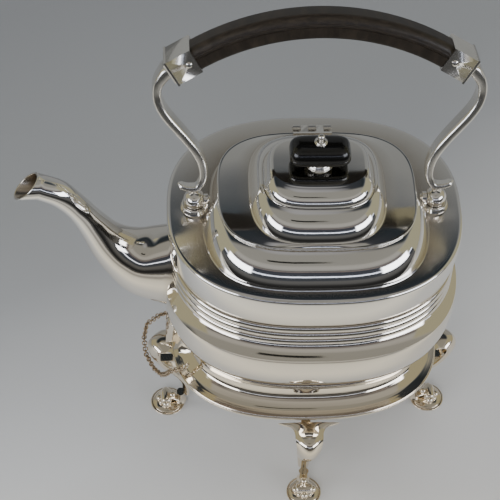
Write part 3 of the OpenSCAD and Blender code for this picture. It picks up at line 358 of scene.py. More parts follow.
def dress(piece, body, material, instead_of=()):
    """Gives a finished piece its metal, its body and the nodes it stands for."""
    piece.data.materials.clear()
    piece.data.materials.append(material)
    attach(piece, body)
    if instead_of:
        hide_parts(*instead_of)


body_silver = silver("raised_silver")
rim_w, rim_d, plan = 87.5, 72.0, 2.5
body_angles = even_angles(360, rim_w, rim_d, plan)
shoulder_z, sheet, rim_round, band_h = 205.0, 1.4, 2.6, 27.5
neck, underside, underside_in = -3.2, 98.95, -16.0
reed_count, reed_h, reed_out, reed_steps = 3, 5.8, 1.5, 12
reed_top = shoulder_z - band_h
reed_low = reed_top - reed_count * reed_h
# outside the rim size, height: a shelf turned out under the reeds, then the roll below it
shelf = smooth_rows([(-6.0, 159.4), (-5.2, 156.8), (-3.4, 154.6), (-1.2, 152.7), (1.0, 151.2),
                     (2.2, 150.5)], 16)
roll = smooth_rows([(2.2, 150.5), (2.6, 149.0), (2.8, 146.5), (2.8, 142.0), (2.5, 136.0),
                    (1.8, 131.5), (0.5, 126.5), (-1.4, 121.5), (-3.9, 116.3), (-6.4, 111.5),
                    (-8.8, 107.0), (-10.9, 103.0), (-12.6, 99.8), (-14.0, 99.0)], 50)
below_reeds = np.vstack([shelf, roll[1:], [(underside_in, underside)]])[::-1]


def wall_offset(z):
    """How far the kettle's skin lies outside its rim size at a height."""
    return neck if z >= reed_low else float(np.interp(z, below_reeds[:, 1], below_reeds[:, 0]))


def lug_share(angles):
    """1 at the middle of the spout's side, where lug and fork are soldered on, else 0."""
    core, fade = 0.15, 0.2
    away = np.clip((np.abs(np.sin(angles)) ** (2.0 / plan) - core) / fade, 0.0, 1.0)
    return np.where(np.cos(angles) < 0.0, 1.0 - away * away * (3.0 - 2.0 * away), 0.0)


bulge_z, bulge_rise, bulge_out = 123.0, 54.4, 17.5


def body_ring(off, z):
    """A ring of the wall; by the lug, shelf and roll pass into a plain round bulge."""
    tall = bulge_rise if z > bulge_z else bulge_z - underside
    plain = underside_in + bulge_out * math.sqrt(max(0.0, 1.0 - ((z - bulge_z) / tall) ** 2))
    if z < reed_low and off > underside_in - sheet:
        off = off + lug_share(body_angles) * (plain - off)
    return cushion(body_angles, rim_w + off, rim_d + off, plan, z)


# the third value is the share of tarnish and painted shade: on the underside, in the reed valleys, at
# the dome's foot, round the opening and over the whole inside
profile = [(off, z, 0.5 if z < 100.0 else 0.0) for off, z in below_reeds]
profile.append((neck, reed_low, 0.6))
for reed in range(reed_count):
    for i in range(1, reed_steps + 1):
        u = i / reed_steps
        profile.append((neck + reed_out * math.sin(math.pi * u) ** 0.8,
                        reed_low + reed_h * (reed + u), 0.75 if i == reed_steps else 0.0))
band_steps = 18
for i in range(1, band_steps + 1):
    t = i / band_steps
    profile.append((neck * (1 - t) ** 2, reed_top + (band_h - rim_round) * t, 0.0))
for t in np.radians(np.arange(10, 91, 10)):
    profile.append((-rim_round * (1 - math.cos(t)), shoulder_z - rim_round * (1 - math.sin(t)), 0))
rings, tarnish_and_shade_values = [], []
# the floor hangs a little below the ledge that rests on the stand's collar
floor_in, floor_drop = underside_in - 4.0, 4.5
for z in (underside - floor_drop, underside - 0.4):
    rings.append(cushion(body_angles, rim_w + floor_in, rim_d + floor_in, plan, z))
    tarnish_and_shade_values.append(0.3)
for off, z, g in profile:
    rings.append(body_ring(off, z))
    tarnish_and_shade_values.append(g)
lid_plan, lid_y, dome_top = 3.1, -4.0, shoulder_z + 17.45
# width, then depth: half size of the dome's top, and how much more its foot has in front
# and at the sides and behind
dome_sizes = ((57.6, 8.4, 3.9), (44.6, 15.4, 9.9))
lid_angles = even_angles(360, *(top + ahead for top, ahead, aside in dome_sizes), lid_plan)
bombe_foot, bombe_brow = math.radians(18.0), math.radians(77.0)


def bombe(t):
    """How far in and up a bombe band has come, as its face leans from foot to brow."""
    low, end, lean = bombe_foot, bombe_brow, bombe_foot + (bombe_brow - bombe_foot) * t
    return ((math.cos(low) - math.cos(lean)) / (math.cos(low) - math.cos(end)),
            (math.sin(lean) - math.sin(low)) / (math.sin(end) - math.sin(low)))


lid_c, lid_s = (squared(v, 2.0 / lid_plan) for v in (np.cos(lid_angles), np.sin(lid_angles)))


def front_share(start, full):
    """1 in front, 0 at the sides and behind, changing softly between two depths."""
    share = np.clip((-lid_s - start) / (full - start), 0.0, 1.0)
    return share * share * (3.0 - 2.0 * share)


def dome_ring(t, less=0.0):
    """A ring of the dome between its foot (0) and top (1), blended from front to back."""
    inward, rise = bombe(t)
    share = front_share(0.01, 0.18)
    wide, deep = (top + share * ahead * (1.0 - inward) + (1.0 - share) * aside * (1.0 - rise) - less
                  for top, ahead, aside in dome_sizes)
    height = shoulder_z + (dome_top - shoulder_z) * rise
    return np.stack([wide * lid_c, lid_y + deep * lid_s, np.full(len(lid_c), height)], axis=1)


# a small fillet where the dome leaves the shoulder
for wider, higher, g in ((0.9, 0.0, 0.7), (0.35, 0.08, 0.3), (0.08, 0.4, 0.1)):
    rings.append(dome_ring(0.0, -wider) + np.array([0.0, 0.0, higher]))
    tarnish_and_shade_values.append(g)
dome_steps = 26
for i in range(1, dome_steps + 1):
    rings.append(dome_ring(i / dome_steps))
    tarnish_and_shade_values.append(0.0)
opening_w, opening_d = 51.5, 38.5
for z in (dome_top, dome_top - sheet):
    rings.append(cushion(lid_angles, opening_w, opening_d, lid_plan, z, lid_y))
    tarnish_and_shade_values.append(0.5)
# inside again: down under the dome and along the wall to the floor
for t, drop in ((1.0, sheet + 0.01), (0.65, 0.0), (0.3, 0.0), (0.0, sheet)):
    rings.append(dome_ring(t, sheet) - np.array([0.0, 0.0, drop]))
    tarnish_and_shade_values.append(0.5)
inner_wall = [(neck, z) for z in (shoulder_z - sheet, shoulder_z - 4.0, 191.0, reed_top,
                                  reed_low + 3.0)]
inner_wall += [(-6.2, reed_low + 0.5)]
inner_wall += [(wall_offset(z), z) for z in np.linspace(reed_low - 3.0, underside + 2.0, 30)]
inner_wall += [(floor_in, z) for z in (underside + 0.6, underside - floor_drop + sheet)]
inside_share = 0.983
# the inside carries a half share of tarnish and painted shade
for off, z in inner_wall:
    rings.append(body_ring(off, z) * np.array([inside_share, inside_share, 1.0]))
    tarnish_and_shade_values.append(0.5)
kettle_shell = skin("kettle_shell", rings, grime=tarnish_and_shade_values, sharp=28.0)
dress(kettle_shell, "kettle", body_silver, instead_of=("kettle_body", "kettle_shoulder"))


# ---------------------------------------------------------------------------
# Spout: a swan-neck tube raised from sheet, wide where it is soldered over
# the strainer holes and slim at its throat, with a slanting open mouth whose
# lower lip reaches furthest.
# ---------------------------------------------------------------------------
spout_reach, spout_sheet, spout_seat, seat_clear = 176.0, 1.2, 0.3, 0.4
mouth_w, mouth_h, mouth_z, lip_run, lip_depth = 7.6, 8.8, 225.1, 7.8, 9.0
# distance out, height of middle, half height, half width, lean of the section in degrees
spout_rows = [(79.8, 150.0, 33.0, 20.5, 2.0), (102.1, 156.0, 25.5, 18.5, 24.0),
              (113.5, 164.3, 17.5, 15.5, 44.0), (123.2, 175.8, 12.3, 12.3, 58.0),
              (132.0, 191.8, 8.8, 9.4, 62.0), (140.8, 207.4, 7.4, 8.2, 52.0),
              (150.5, 219.0, 8.0, 8.0, 35.0), (161.0, 224.6, 7.8, 7.7, 18.0)]
spout_round = np.linspace(0.0, 2.0 * np.pi, 97)[:-1]


def spout_ring(row, less):
    """A section of the tube at a row, less smaller all round."""
    out, z, tall, wide, lean = row
    lift = (tall - less) * np.sin(spout_round)
    return np.stack([-out + lift * math.sin(math.radians(lean)),
                     (wide - less) * np.cos(spout_round),
                     z + lift * math.cos(math.radians(lean))], axis=1)


def mouth_ring(less):
    """The slanting mouth, less smaller all round."""
    lift = np.sin(spout_round)
    return np.stack([-spout_reach + lip_run * (1.0 + lift * (1.0 - less / lip_depth)),
                     (mouth_w - less) * np.cos(spout_round),
                     mouth_z + (mouth_h - less) * lift], axis=1)


def on_kettle(ring, depth):
    """Carries a ring's points onto the kettle's side, depth below its skin."""
    out = ring.copy()
    for k, (x, y, z) in enumerate(ring):
        off = min(wall_offset(z), neck) - depth
        a, b = rim_w + off, rim_d + off
        out[k, 0] = -a * max(0.0, 1.0 - abs(y / b) ** plan) ** (1.0 / plan)
    return out


spout_smooth = smooth_rows(spout_rows, 64)
outer = [spout_ring(row, 0.0) for row in spout_smooth]
inner = [spout_ring(row, spout_sheet) for row in spout_smooth]
foot_out, foot_in = on_kettle(outer[0], spout_seat), on_kettle(inner[0], spout_seat)
outer = [foot_out] + [r for r in outer[1:] if (r[:, 0] < foot_out[:, 0] - seat_clear).all()]
inner = [foot_in] + [r for r in inner[1:] if (r[:, 0] < foot_in[:, 0] - seat_clear).all()]
lip = [mouth_ring(g) for g in (0.0, 0.15, 0.6, 1.05, spout_sheet)]
for k, push in ((1, -0.35), (2, -0.5), (3, -0.35)):
    lip[k] = lip[k] + np.array([push * 0.8, 0.0, push * -0.2])
spout_rings = outer + lip + inner[::-1]
# tarnish and painted shade: at the solder seam, deepening into the mouth and over the whole inside
spout_tarnish_and_shade = ([0.5] + [0.0] * (len(outer) - 1) + [0.0, 0.0, 0.2, 0.4, 0.7]
              + [0.95] * len(inner))
spout_shell = skin("spout_shell", spout_rings, looped=True, grime=spout_tarnish_and_shade, sharp=50.0)
dress(spout_shell, "kettle", body_silver, instead_of=("spout",))


# ---------------------------------------------------------------------------
# Lid: a flat plate with a beaded edge and two bombe steps raised from one
# sheet, each band swelling out of the flat below it with a crisp line where
# the flat begins. It lies over the dome's opening, hinged behind.
# ---------------------------------------------------------------------------
lid_w, lid_d, lid_bead = 57.5, 44.5, 0.5
lid_sheet, flat_rise, top_forward = 1.2, 1.2, 2.4
step_a = shoulder_z + 19.4
step_b = step_a + flat_rise + 14.0
step_c = step_b + 8.5
riser_part, riser_in, band_rows = 0.15, 0.04, 20


def lid_row(wide, deep, height, forward=0.0):
    """A level ring of the lid."""
    return cushion(lid_angles, wide, deep, lid_plan, height, lid_y - forward)


def lid_band(foot, top, riser, start, full):
    """Rings of a step: an upright riser under a bombe face in front, a cove elsewhere."""
    foot, top, share = np.array(foot), np.array(top), front_share(start, full)
    rows = []
    for i in range(band_rows + 1):
        t = i / band_rows
        inward, rise = bombe(max(0.0, (t - riser_part) / (1.0 - riser_part)))
        inward, rise = riser_in + (1.0 - riser_in) * inward, riser + (1.0 - riser) * rise
        if t < riser_part:
            inward, rise = riser_in * t / riser_part, riser * t / riser_part
        cove = t ** 0.7
        inward = share * inward + (1.0 - share) * t
        rise = share * rise + (1.0 - share) * cove * cove * (3.0 - 2.0 * cove)
        wide, deep, forward = (foot[k] + (top[k] - foot[k]) * inward for k in (0, 1, 3))
        rows.append(np.stack([wide * lid_c, lid_y - forward + deep * lid_s,
                              foot[2] + (top[2] - foot[2]) * rise], axis=1))
    return rows


lid_rings = [lid_row(lid_w + lid_bead * math.sin(t), lid_d + lid_bead * math.sin(t),
                     step_a - 0.75 - 0.85 * math.cos(t)) for t in np.radians(np.arange(0, 181, 15))]
lid_rings += [lid_row(lid_w - 0.5, lid_d - 0.5, step_a - 0.02),
              lid_row(lid_w - 1.0, lid_d - 1.0, step_a + 0.02),
              lid_row(48.0, 43.1, step_a + 0.7), lid_row(40.4, 42.7, step_a + 1.1),
              lid_row(39.8, 42.25, step_a + flat_rise)]
# tarnish and painted shade: at the edge, in the foot and top of each step, and over the inside
lid_tarnish_and_shade = [0.5] + [0.0] * 15 + [0.3, 0.5]
lid_rings += lid_band((39.5, 42.0, step_a + 1.5, 0.0), (32.6, 26.4, step_b - 0.2, top_forward),
                      0.03, 0.20, 0.38)
lid_rings += [lid_row(32.35, 26.15, step_b - 0.05, top_forward),
              lid_row(31.95, 25.75, step_b, top_forward)]
lid_tarnish_and_shade += [0.15] + [0.0] * band_rows + [0.2, 0.5]
lid_rings += lid_band((31.8, 25.6, step_b + 0.2, top_forward), (27.0, 19.0, step_c, 0.0),
                      0.22, 0.35, 0.50)
lid_rings += [lid_row(26.6, 18.6, step_c + 0.18), lid_row(25.8, 17.8, step_c + 0.22),
              lid_row(12.0, 8.0, step_c + 0.4), lid_row(1.6, 1.6, step_c + 0.4)]
lid_tarnish_and_shade += [0.15] + [0.0] * band_rows + [0.0, 0.0, 0.1, 0.5]
# the inside, from the middle back out to the edge
lid_rings += [lid_row(1.6, 1.6, step_c - lid_sheet), lid_row(25.0, 17.0, step_c - lid_sheet),
              lid_row(29.6, 23.4, step_b + 1.0, top_forward),
              lid_row(30.6, 24.4, step_b - 1.6, top_forward),
              lid_row(36.3, 37.8, step_a + 2.0), lid_row(37.3, 38.8, step_a - 1.6)]
lid_tarnish_and_shade += [0.5] * 6
lid_cover = skin("lid_cover", lid_rings, looped=True, sharp=24.0, grime=lid_tarnish_and_shade)
dress(lid_cover, "lid", body_silver, instead_of=("lid_shell",))

# ---------------------------------------------------------------------------
# Small turned and soldered silver: knuckles, cups, cheeks, pins, balls,
# sockets, rivets, collar, stud and burner. Their solids are exact, so each is
# taken over with its loose facets joined and its round faces shaded smooth.
# ---------------------------------------------------------------------------
fitting_silver = silver("turned_silver", tone=(0.92, 0.885, 0.83), rough=0.06, worn=1.3)
cast_silver = silver("cast_silver", tone=(0.95, 0.92, 0.86), rough=0.19, worn=1.6)


def polished_copy(node, body, material):
    """A joined, smooth copy of a node's solid that stands for the node."""
    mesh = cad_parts[node].data.copy()
    solid = bmesh.new()
    solid.from_mesh(mesh)
    bmesh.ops.remove_doubles(solid, verts=solid.verts, dist=2e-6)
    solid.to_mesh(mesh)
    solid.free()
    mesh.shade_smooth()
    mesh.set_sharp_from_angle(angle=math.radians(30.0))
    dress(placed(node + "_metal", mesh), body, material, instead_of=(node,))


for body_name, nodes in (
        ("kettle", ("tilt_lug", "lid_hinge_leaf", "lid_hinge_pin", "handle_lug_left",
                    "handle_lug_right", "handle_pin_left", "handle_pin_right")),
        ("lid", ("lid_skirt", "lid_knuckles", "finial_collar", "finial_stud", "finial_nut")),
        ("handle", ("handle_ball_left", "handle_ball_right", "handle_socket_left",
                    "handle_socket_right", "grip_rivets")),
        ("stand", ("tilt_fork", "chain_eye", "burner_ring", "burner_stays")),
        ("burner", ("burner_bowl", "burner_collar")),
        ("snuffer", ("snuffer",)), ("tilt_pin", ("tilt_pin",))):
    for node in nodes:
        polished_copy(node, body_name, cast_silver if "socket" in node else fitting_silver)

# ---------------------------------------------------------------------------
# Knob: an oblong block of ebonised wood with broad bevels, polished until the
# pores barely show. It sits on its silver collar under the stud's button.
# ---------------------------------------------------------------------------
ebony, p = new_finish("ebonised_wood")
place = p.node("ShaderNodeTexCoord").outputs["Object"]
pores = p.fibres(place, (120.0, 900.0, 900.0), {"Scale": 1.0, "Detail": 5.0})
soft = p.wire("ShaderNodeTexNoise", None, {"Vector": place, "Scale": 90.0, "Detail": 3.0})
colour = p.blend(pores.step(0.55, 0.75), (0.0025, 0.0023, 0.002, 1.0), (0.008, 0.006, 0.0045, 1.0))
bump = p.node("ShaderNodeBump", None, {"Strength": 0.05, "Distance": 0.0002, "Height": pores})
p.surface({"Base Color": colour, "Roughness": 0.14 + soft * 0.1, "Coat Weight": 0.25,
           "Coat Roughness": 0.05, "Normal": bump.outputs[0]})

knob_w, knob_d, knob_plan = 17.5, 9.5, 4.6
crown_rise, collar_h = 0.45, 4.05
knob_z = step_c + crown_rise + collar_h
# height, how far in
knob_levels = smooth_rows([(0.0, 3.2), (0.7, 1.2), (2.4, 0.25), (4.2, 0.0), (7.0, 0.35),
                           (9.8, 1.7), (11.6, 3.5), (12.5, 5.3)], 36)
knob_angles = even_angles(160, knob_w, knob_d, knob_plan)
knob_rings = [cushion(knob_angles, knob_w - inward, knob_d - inward, knob_plan, knob_z + h, lid_y)
              for h, inward in knob_levels]
knob = skin("knob", knob_rings, sharp=60.0)
dress(knob, "lid", ebony, instead_of=("finial_knob",))

# ---------------------------------------------------------------------------
# Grip: a bow of dark fruit wood cut in one piece, flat below and rounded
# above, with a fine bead run along both upper edges. The same section runs
# from socket to socket.
# ---------------------------------------------------------------------------
wood, p = new_finish("dark_wood")
place = p.node("ShaderNodeTexCoord").outputs["UV"]
grain = p.fibres(place, (9.0, 90.0, 1.0), {"Scale": 2.0, "Detail": 8.0, "Roughness": 0.65,
                                           "Distortion": 0.4})
fibre = p.fibres(place, (40.0, 900.0, 1.0), {"Scale": 1.0, "Detail": 4.0})
colour = p.blend(grain.step(0.35, 0.7), (0.011, 0.008, 0.0055, 1.0), (0.027, 0.020, 0.0135, 1.0))
colour = p.blend(fibre.step(0.55, 0.8) * 0.5, colour, (0.008, 0.006, 0.005, 1.0))
bump = p.node("ShaderNodeBump", None, {"Strength": 0.12, "Distance": 0.0003,
                                      "Height": grain + fibre * 0.5})
p.surface({"Base Color": colour, "Roughness": 0.30 + grain * 0.16, "Coat Weight": 0.15,
           "Coat Roughness": 0.25, "Normal": bump.outputs[0]})

handle_lean = math.radians(18.0)
pivot_z, handle_rise = 212.0, 121.8
grip_r, grip_half, grip_h, grip_d = 143.0, math.radians(31.0), 13.6, 18.0
grip_axis = handle_rise - grip_r


def leaned(points):
    """From the upright handle's own millimetres to its leaning place."""
    c, s = math.cos(handle_lean), math.sin(handle_lean)
    x, y, z = points.T
    return np.stack([x, y * c + z * s, pivot_z + z * c - y * s], axis=-1)


def grip_section():
    """Height over the lower face and depth, up the back half and down its mirror image."""
    low_r, top_r, d = 1.6, 4.6, grip_d / 2.0
    spring = grip_h - top_r
    half = [(0.0, d - low_r)]
    half += [(low_r * (1 - math.cos(t)), d - low_r + low_r * math.sin(t))
             for t in np.radians([22.5, 45, 67.5, 90])]
    half += [(spring - 2.3, d), (spring - 2.05, d - 0.45), (spring - 1.8, d - 0.5),
             (spring - 1.5, d - 0.45), (spring - 1.35, d - 0.1)]
    half += [(spring - 1.0 + 0.9 * math.sin(t), d - 0.35 + 0.4 * math.cos(t))
             for t in np.radians([20, 60, 100])]
    half += [(spring + top_r * math.sin(t), d - top_r - 0.45 + top_r * math.cos(t))
             for t in np.radians(np.arange(0, 91, 7.5))]
    return np.array(half + [(h, -w) for h, w in half[::-1]])


section = grip_section()
grip_rings = []
for a in np.linspace(-grip_half, grip_half, 121):
    radius = grip_r - grip_h + section[:, 0]
    ring = np.stack([radius * math.sin(a), section[:, 1], grip_axis + radius * math.cos(a)], axis=1)
    grip_rings.append(leaned(ring))
grip = skin("grip", grip_rings, sharp=40.0)
dress(grip, "handle", wood, instead_of=("handle_grip",))

# ---------------------------------------------------------------------------
# Handle arms: two straps of cast silver with softened edges that bow out under
# the sockets, sweep in like an S and end in a small scroll over each pivot
# ball, slimmer from the socket down.
# ---------------------------------------------------------------------------
# x, height over the pivots, thickness, depth
arm_rows = [(85.11, 86.56, 7.8, 14.4), (86.39, 85.79, 7.1, 14.3), (89.34, 81.9, 5.5, 13.8),
            (91.5, 77.5, 4.7, 13.0), (92.26, 71.0, 4.2, 12.0), (90.64, 64.0, 4.2, 12.0),
            (87.2, 57.5, 4.2, 12.0), (81.64, 50.0, 4.2, 12.0), (75.56, 42.0, 4.2, 11.4),
            (70.5, 34.5, 4.2, 10.8), (67.15, 27.0, 4.0, 9.6), (65.85, 20.0, 3.8, 8.4),
            (66.45, 13.8, 3.4, 7.4), (69.4, 8.8, 3.0, 7.0), (73.6, 8.25, 2.8, 6.6),
            (77.6, 9.2, 2.5, 6.0), (80.6, 11.4, 2.1, 5.0)]
arm_smooth = smooth_rows(arm_rows, 110)
# rows below the socket over which the strap comes to its full thickness
full_after, arm_full, edge_round = 12, 0.28, 0.45
round_box = np.radians(np.arange(0, 360, 10.0))
box_w, box_d = (squared(v, edge_round) for v in (np.cos(round_box), np.sin(round_box)))


def run_at(rows, i):
    """Which way a line of rows runs at one of them."""
    ahead, behind = rows[min(i + 1, len(rows) - 1)][:2], rows[max(i - 1, 0)][:2]
    return (ahead - behind) / np.linalg.norm(ahead - behind)


for side, side_name in ((-1, "left"), (1, "right")):
    rings = []
    for i, (x, z, thick, deep) in enumerate(arm_smooth):
        run = run_at(arm_smooth, i)
        ends = min(1.0, 0.25 + (len(arm_smooth) - 1 - i) * 0.25)
        thick *= 1.0 + arm_full * min(1.0, i / full_after)
        ring = np.stack([side * (x - run[1] * box_w * thick / 2 * ends),
                         box_d * deep / 2 * ends,
                         z + run[0] * box_w * thick / 2 * ends], axis=1)
        rings.append(leaned(ring))
    arm = skin("arm_" + side_name, rings, sharp=60.0)
    dress(arm, "handle", cast_silver, instead_of=("handle_arm_" + side_name,))

# ---------------------------------------------------------------------------
# Stand: an oblong collar of sheet that the kettle's underside rests on. Its
# hollow throat flares into a nearly flat flange with a fine wire along the
# lower edge.
# ---------------------------------------------------------------------------
stand_w, stand_d, stand_z, stand_drop = 84.7, 65.0, 74.0, 24.6
wire_round, wall_gap, throat_drop, throat_off = 0.42, 1.8, 0.885, -2.0
# outside the stand's half size, share of the way down: the flange, then the hollow throat
stand_outer = smooth_rows([(-2.5, 0.88), (-5.0, 0.845), (-7.2, 0.78), (-9.4, 0.70), (-11.2, 0.61),
                           (-12.2, 0.50), (-12.7, 0.35), (-12.9, 0.18), (-13.0, 0.04),
                           (-13.4, 0.0)], 60)
# the same and the share of tarnish and painted shade: under the edge, its wire, the outside, the
# inside
stand_rows = [(-0.7, 1.0, 0.5), (0.0, 1.0, 0.1)]
stand_rows += [(wire_round * math.sin(t), 0.965 + 0.035 * math.cos(t), 0.0)
               for t in np.radians(np.arange(15, 166, 15))]
stand_rows += [(-0.1, 0.925, 0.6), (-0.5, 0.90, 0.15)]
stand_rows += [(off, drop, 0.0) for off, drop in stand_outer]
stand_rows += [(off, drop, 0.5) for off, drop in (
    (-15.0, 0.03), (-14.5, 0.18), (-14.2, 0.36), (-13.8, 0.52), (-12.4, 0.68), (-9.6, 0.80),
    (-6.5, 0.875), (-3.0, 0.93), (-1.4, 0.985))]
stand_angles = even_angles(360, stand_w, stand_d, plan)
# by the fork the throat passes into a plainer curve
plain_drops = (0.0, 0.01, 0.06, 0.13, 0.22, 0.3, 0.36, 0.4, 0.51, 0.64, 0.78, 0.9)
plain_offs = (-10.6, -9.2, -7.7, -6.8, -6.4, -6.5, -6.9, -6.6, -5.7, -4.2, -2.2, -0.5)
stand_rings = []
for off, drop, g in stand_rows:
    if drop < throat_drop and off < throat_off:
        plain = np.interp(drop, plain_drops, plain_offs) - (wall_gap if g == 0.5 else 0.0)
        off = off + lug_share(stand_angles) * (plain - off)
    stand_rings.append(cushion(stand_angles, stand_w + off, stand_d + off, plan,
                               stand_z + stand_drop * (1.0 - drop)))
stand_shell = skin("stand_shell", stand_rings, looped=True, grime=[r[2] for r in stand_rows])
dress(stand_shell, "stand", body_silver, instead_of=("stand_ring",))

# ---------------------------------------------------------------------------
# Legs: four cabriole straps of thick sheet, hollow behind, that spread into
# wings under the flange, bow out at the knee and draw in to a slim ankle.
# ---------------------------------------------------------------------------
foot_x, foot_y, foot_r, leg_half, leg_sheet = 88.0, 72.6, 11.3, 8.2, 1.6
# distance from the foot's middle, height, shares of leg_half: half width and crown
leg_rows = [(-6.0, 73.95, 2.35, 0.1), (-4.0, 73.95, 1.5, 0.2), (-1.0, 73.9, 1.16, 0.35),
            (5.0, 73.5, 1.06, 0.45), (9.5, 71.4, 1.0, 0.55), (11.9, 67.8, 0.98, 0.62),
            (12.5, 63.5, 0.95, 0.62), (9.9, 54.0, 0.9, 0.6), (5.2, 45.5, 0.84, 0.55),
            (-1.2, 38.0, 0.76, 0.5), (-6.6, 30.0, 0.66, 0.42), (-9.6, 22.0, 0.54, 0.36),
            (-10.0, 12.0, 0.42, 0.34)]
leg_smooth = smooth_rows(leg_rows, 90)
across = np.linspace(-1.0, 1.0, 33)
feet = (("front", 270.0, foot_y), ("back", 90.0, foot_y), ("left", 180.0, foot_x),
        ("right", 0.0, foot_x))


def at_foot(points, turn, reach):
    """From a foot's own millimetres, outwards along x, to its place under the stand."""
    c, s = math.cos(math.radians(turn)), math.sin(math.radians(turn))
    x, y, z = points.T
    x = x + reach
    return np.stack([x * c - y * s, x * s + y * c, z], axis=-1)


for place_name, turn, reach in feet:
    rings = []
    for i, (out, z, wide, crown) in enumerate(leg_smooth):
        run = run_at(leg_smooth, i)
        w, c = leg_half * wide, leg_half * crown
        face = -c * across ** 2
        back = (-c * across ** 2 - leg_sheet)[::-1]
        outer_half = np.stack([out - run[1] * face, w * across, z + run[0] * face], axis=1)
        inner_half = np.stack([out - run[1] * back, (w - 0.5) * across[::-1],
                               z + run[0] * back], axis=1)
        rings.append(at_foot(np.vstack([outer_half, inner_half]), turn, reach))
    leg = skin("leg_strap_" + place_name, rings, sharp=50.0)
    dress(leg, "stand", body_silver, instead_of=("leg_" + place_name,))


# ---------------------------------------------------------------------------
# Feet: cast round pads with a raised rim, each carrying a scroll toe made of
# a rolled bar with small balls beside and in front of it, and a short ankle
# that the leg is soldered to.
# ---------------------------------------------------------------------------
def turned(outline, steps=72):
    """A solid of revolution round the local upright axis, in millimetres."""
    t = np.linspace(0.0, 2.0 * np.pi, steps + 1)[:-1]
    return [np.stack([r * np.cos(t), r * np.sin(t), np.full(steps, z)], axis=1)
            for r, z in outline]


def ball(middle, radius):
    """A small round bead."""
    pole = math.pi / 2 - 0.02
    outline = [(radius * math.cos(q), radius * math.sin(q)) for q in np.linspace(-pole, pole, 20)]
    return [ring + np.array(middle) for ring in turned(outline, 32)]


def joined(name, parts):
    """One object out of several skins."""
    first = parts[0]
    with bpy.context.temp_override(active_object=first, selected_editable_objects=parts,
                                   object=first, selected_objects=parts):
        bpy.ops.object.join()
    first.name = name
    first.data.name = name
    return first


pad_outline = [(0.02, 0.0), (foot_r - 0.3, 0.0), (foot_r, 0.3), (foot_r, 0.8),
               (foot_r - 0.25, 1.1), (foot_r - 0.9, 1.25), (foot_r - 1.3, 1.3),
               (foot_r - 1.7, 1.75), (foot_r - 2.8, 2.5), (foot_r - 4.4, 3.1),
               (foot_r - 6.4, 3.6), (2.6, 3.9), (0.02, 4.0)]
# tarnish and painted shade: in the groove inside the rim and at the middle
pad_tarnish_and_shade = [0, 0, 0, 0, 0, 0.5, 0.8, 0.2, 0, 0, 0, 0.2, 0.4]
toe_steps, toe_x, toe_z = 48, 1.0, 6.2
toe_round = np.linspace(0.0, 2.0 * np.pi, toe_steps + 1)[:-1]
for place_name, turn, reach in feet:
    parts = [skin("pad", [at_foot(r, turn, reach) for r in turned(pad_outline)], sharp=40.0,
                  grime=pad_tarnish_and_shade)]
    toe = []
    for y, r in smooth_rows([(-5.6, 1.2), (-5.4, 2.6), (-4.8, 3.4), (-3.6, 3.8), (0.0, 3.95),
                             (3.6, 3.8), (4.8, 3.4), (5.4, 2.6), (5.6, 1.2)], 40):
        toe.append(at_foot(np.stack([toe_x + r * np.cos(toe_round), np.full(toe_steps, y),
                                     toe_z + r * np.sin(toe_round)], axis=1), turn, reach))
    parts.append(skin("roll", toe, sharp=60.0))
    for middle, r in (((1.2, -5.4, 5.6), 2.5), ((1.2, 5.4, 5.6), 2.5), ((5.3, 0.0, 4.9), 2.5),
                      ((4.2, -3.2, 4.4), 2.0), ((4.2, 3.2, 4.4), 2.0), ((-3.2, 0.0, 8.6), 2.2)):
        parts.append(skin("bead", [at_foot(q, turn, reach) for q in ball(middle, r)]))
    ankle = []
    for out, z, wide, deep in smooth_rows([(-8.8, 3.0, 4.2, 3.8), (-8.8, 5.0, 3.2, 3.0),
                                           (-8.8, 8.0, 2.9, 2.6), (-8.7, 11.9, 3.2, 2.6)], 20):
        ankle.append(at_foot(np.stack([out + deep * np.cos(toe_round), wide * np.sin(toe_round),
                                       np.full(toe_steps, z)], axis=1), turn, reach))
    parts.append(skin("ankle", ankle, sharp=60.0))
    tongue = []
    for out, z, wide, deep in smooth_rows([(-9.0, 5.2, 2.8, 2.0), (-5.5, 6.6, 3.0, 1.8),
                                           (-2.4, 9.0, 3.4, 1.3), (0.6, 10.4, 3.6, 0.9),
                                           (3.2, 9.6, 3.4, 0.7)], 30):
        tongue.append(at_foot(np.stack([np.full(toe_steps, out), wide * np.cos(toe_round),
                                        z - 0.6 + deep * np.sin(toe_round) * 0.6], axis=1),
                              turn, reach))
    parts.append(skin("tongue", tongue, sharp=60.0))
    foot = joined("scroll_foot_" + place_name, parts)
    dress(foot, "stand", fitting_silver, instead_of=("foot_" + place_name,))

# ---------------------------------------------------------------------------
# Chain: small closed links of silver wire that keep the tilt pin from being
# lost. Geometry Nodes thread them along the chain's hanging line, every other
# link turned by a quarter.
# ---------------------------------------------------------------------------
chain_points = [(-84, 9.85, 92.9), (-85.5, 11, 87), (-93, 13.5, 80), (-101, 13, 71.5),
                (-103, 10, 60), (-102, 3, 52), (-97, -8, 51.5), (-92, -18, 58),
                (-88.5, -25, 69), (-86.5, -28.5, 77), (-79.6, -30.7, 82.5)]
link_r, wire_r, link_steps, wire_steps = 1.45, 0.42, 28, 12
link_pitch = 2 * link_r - 2 * wire_r - 0.1
tree = bpy.data.node_groups.new("chain_links", "GeometryNodeTree")
tree.interface.new_socket("Geometry", in_out="INPUT", socket_type="NodeSocketGeometry")
for label in ("Pitch", "Link radius", "Wire radius"):
    tree.interface.new_socket(label, in_out="INPUT", socket_type="NodeSocketFloat")
tree.interface.new_socket("Metal", in_out="INPUT", socket_type="NodeSocketMaterial")
tree.interface.new_socket("Geometry", in_out="OUTPUT", socket_type="NodeSocketGeometry")
threads = Paint(tree)
given = threads.node("NodeGroupInput")
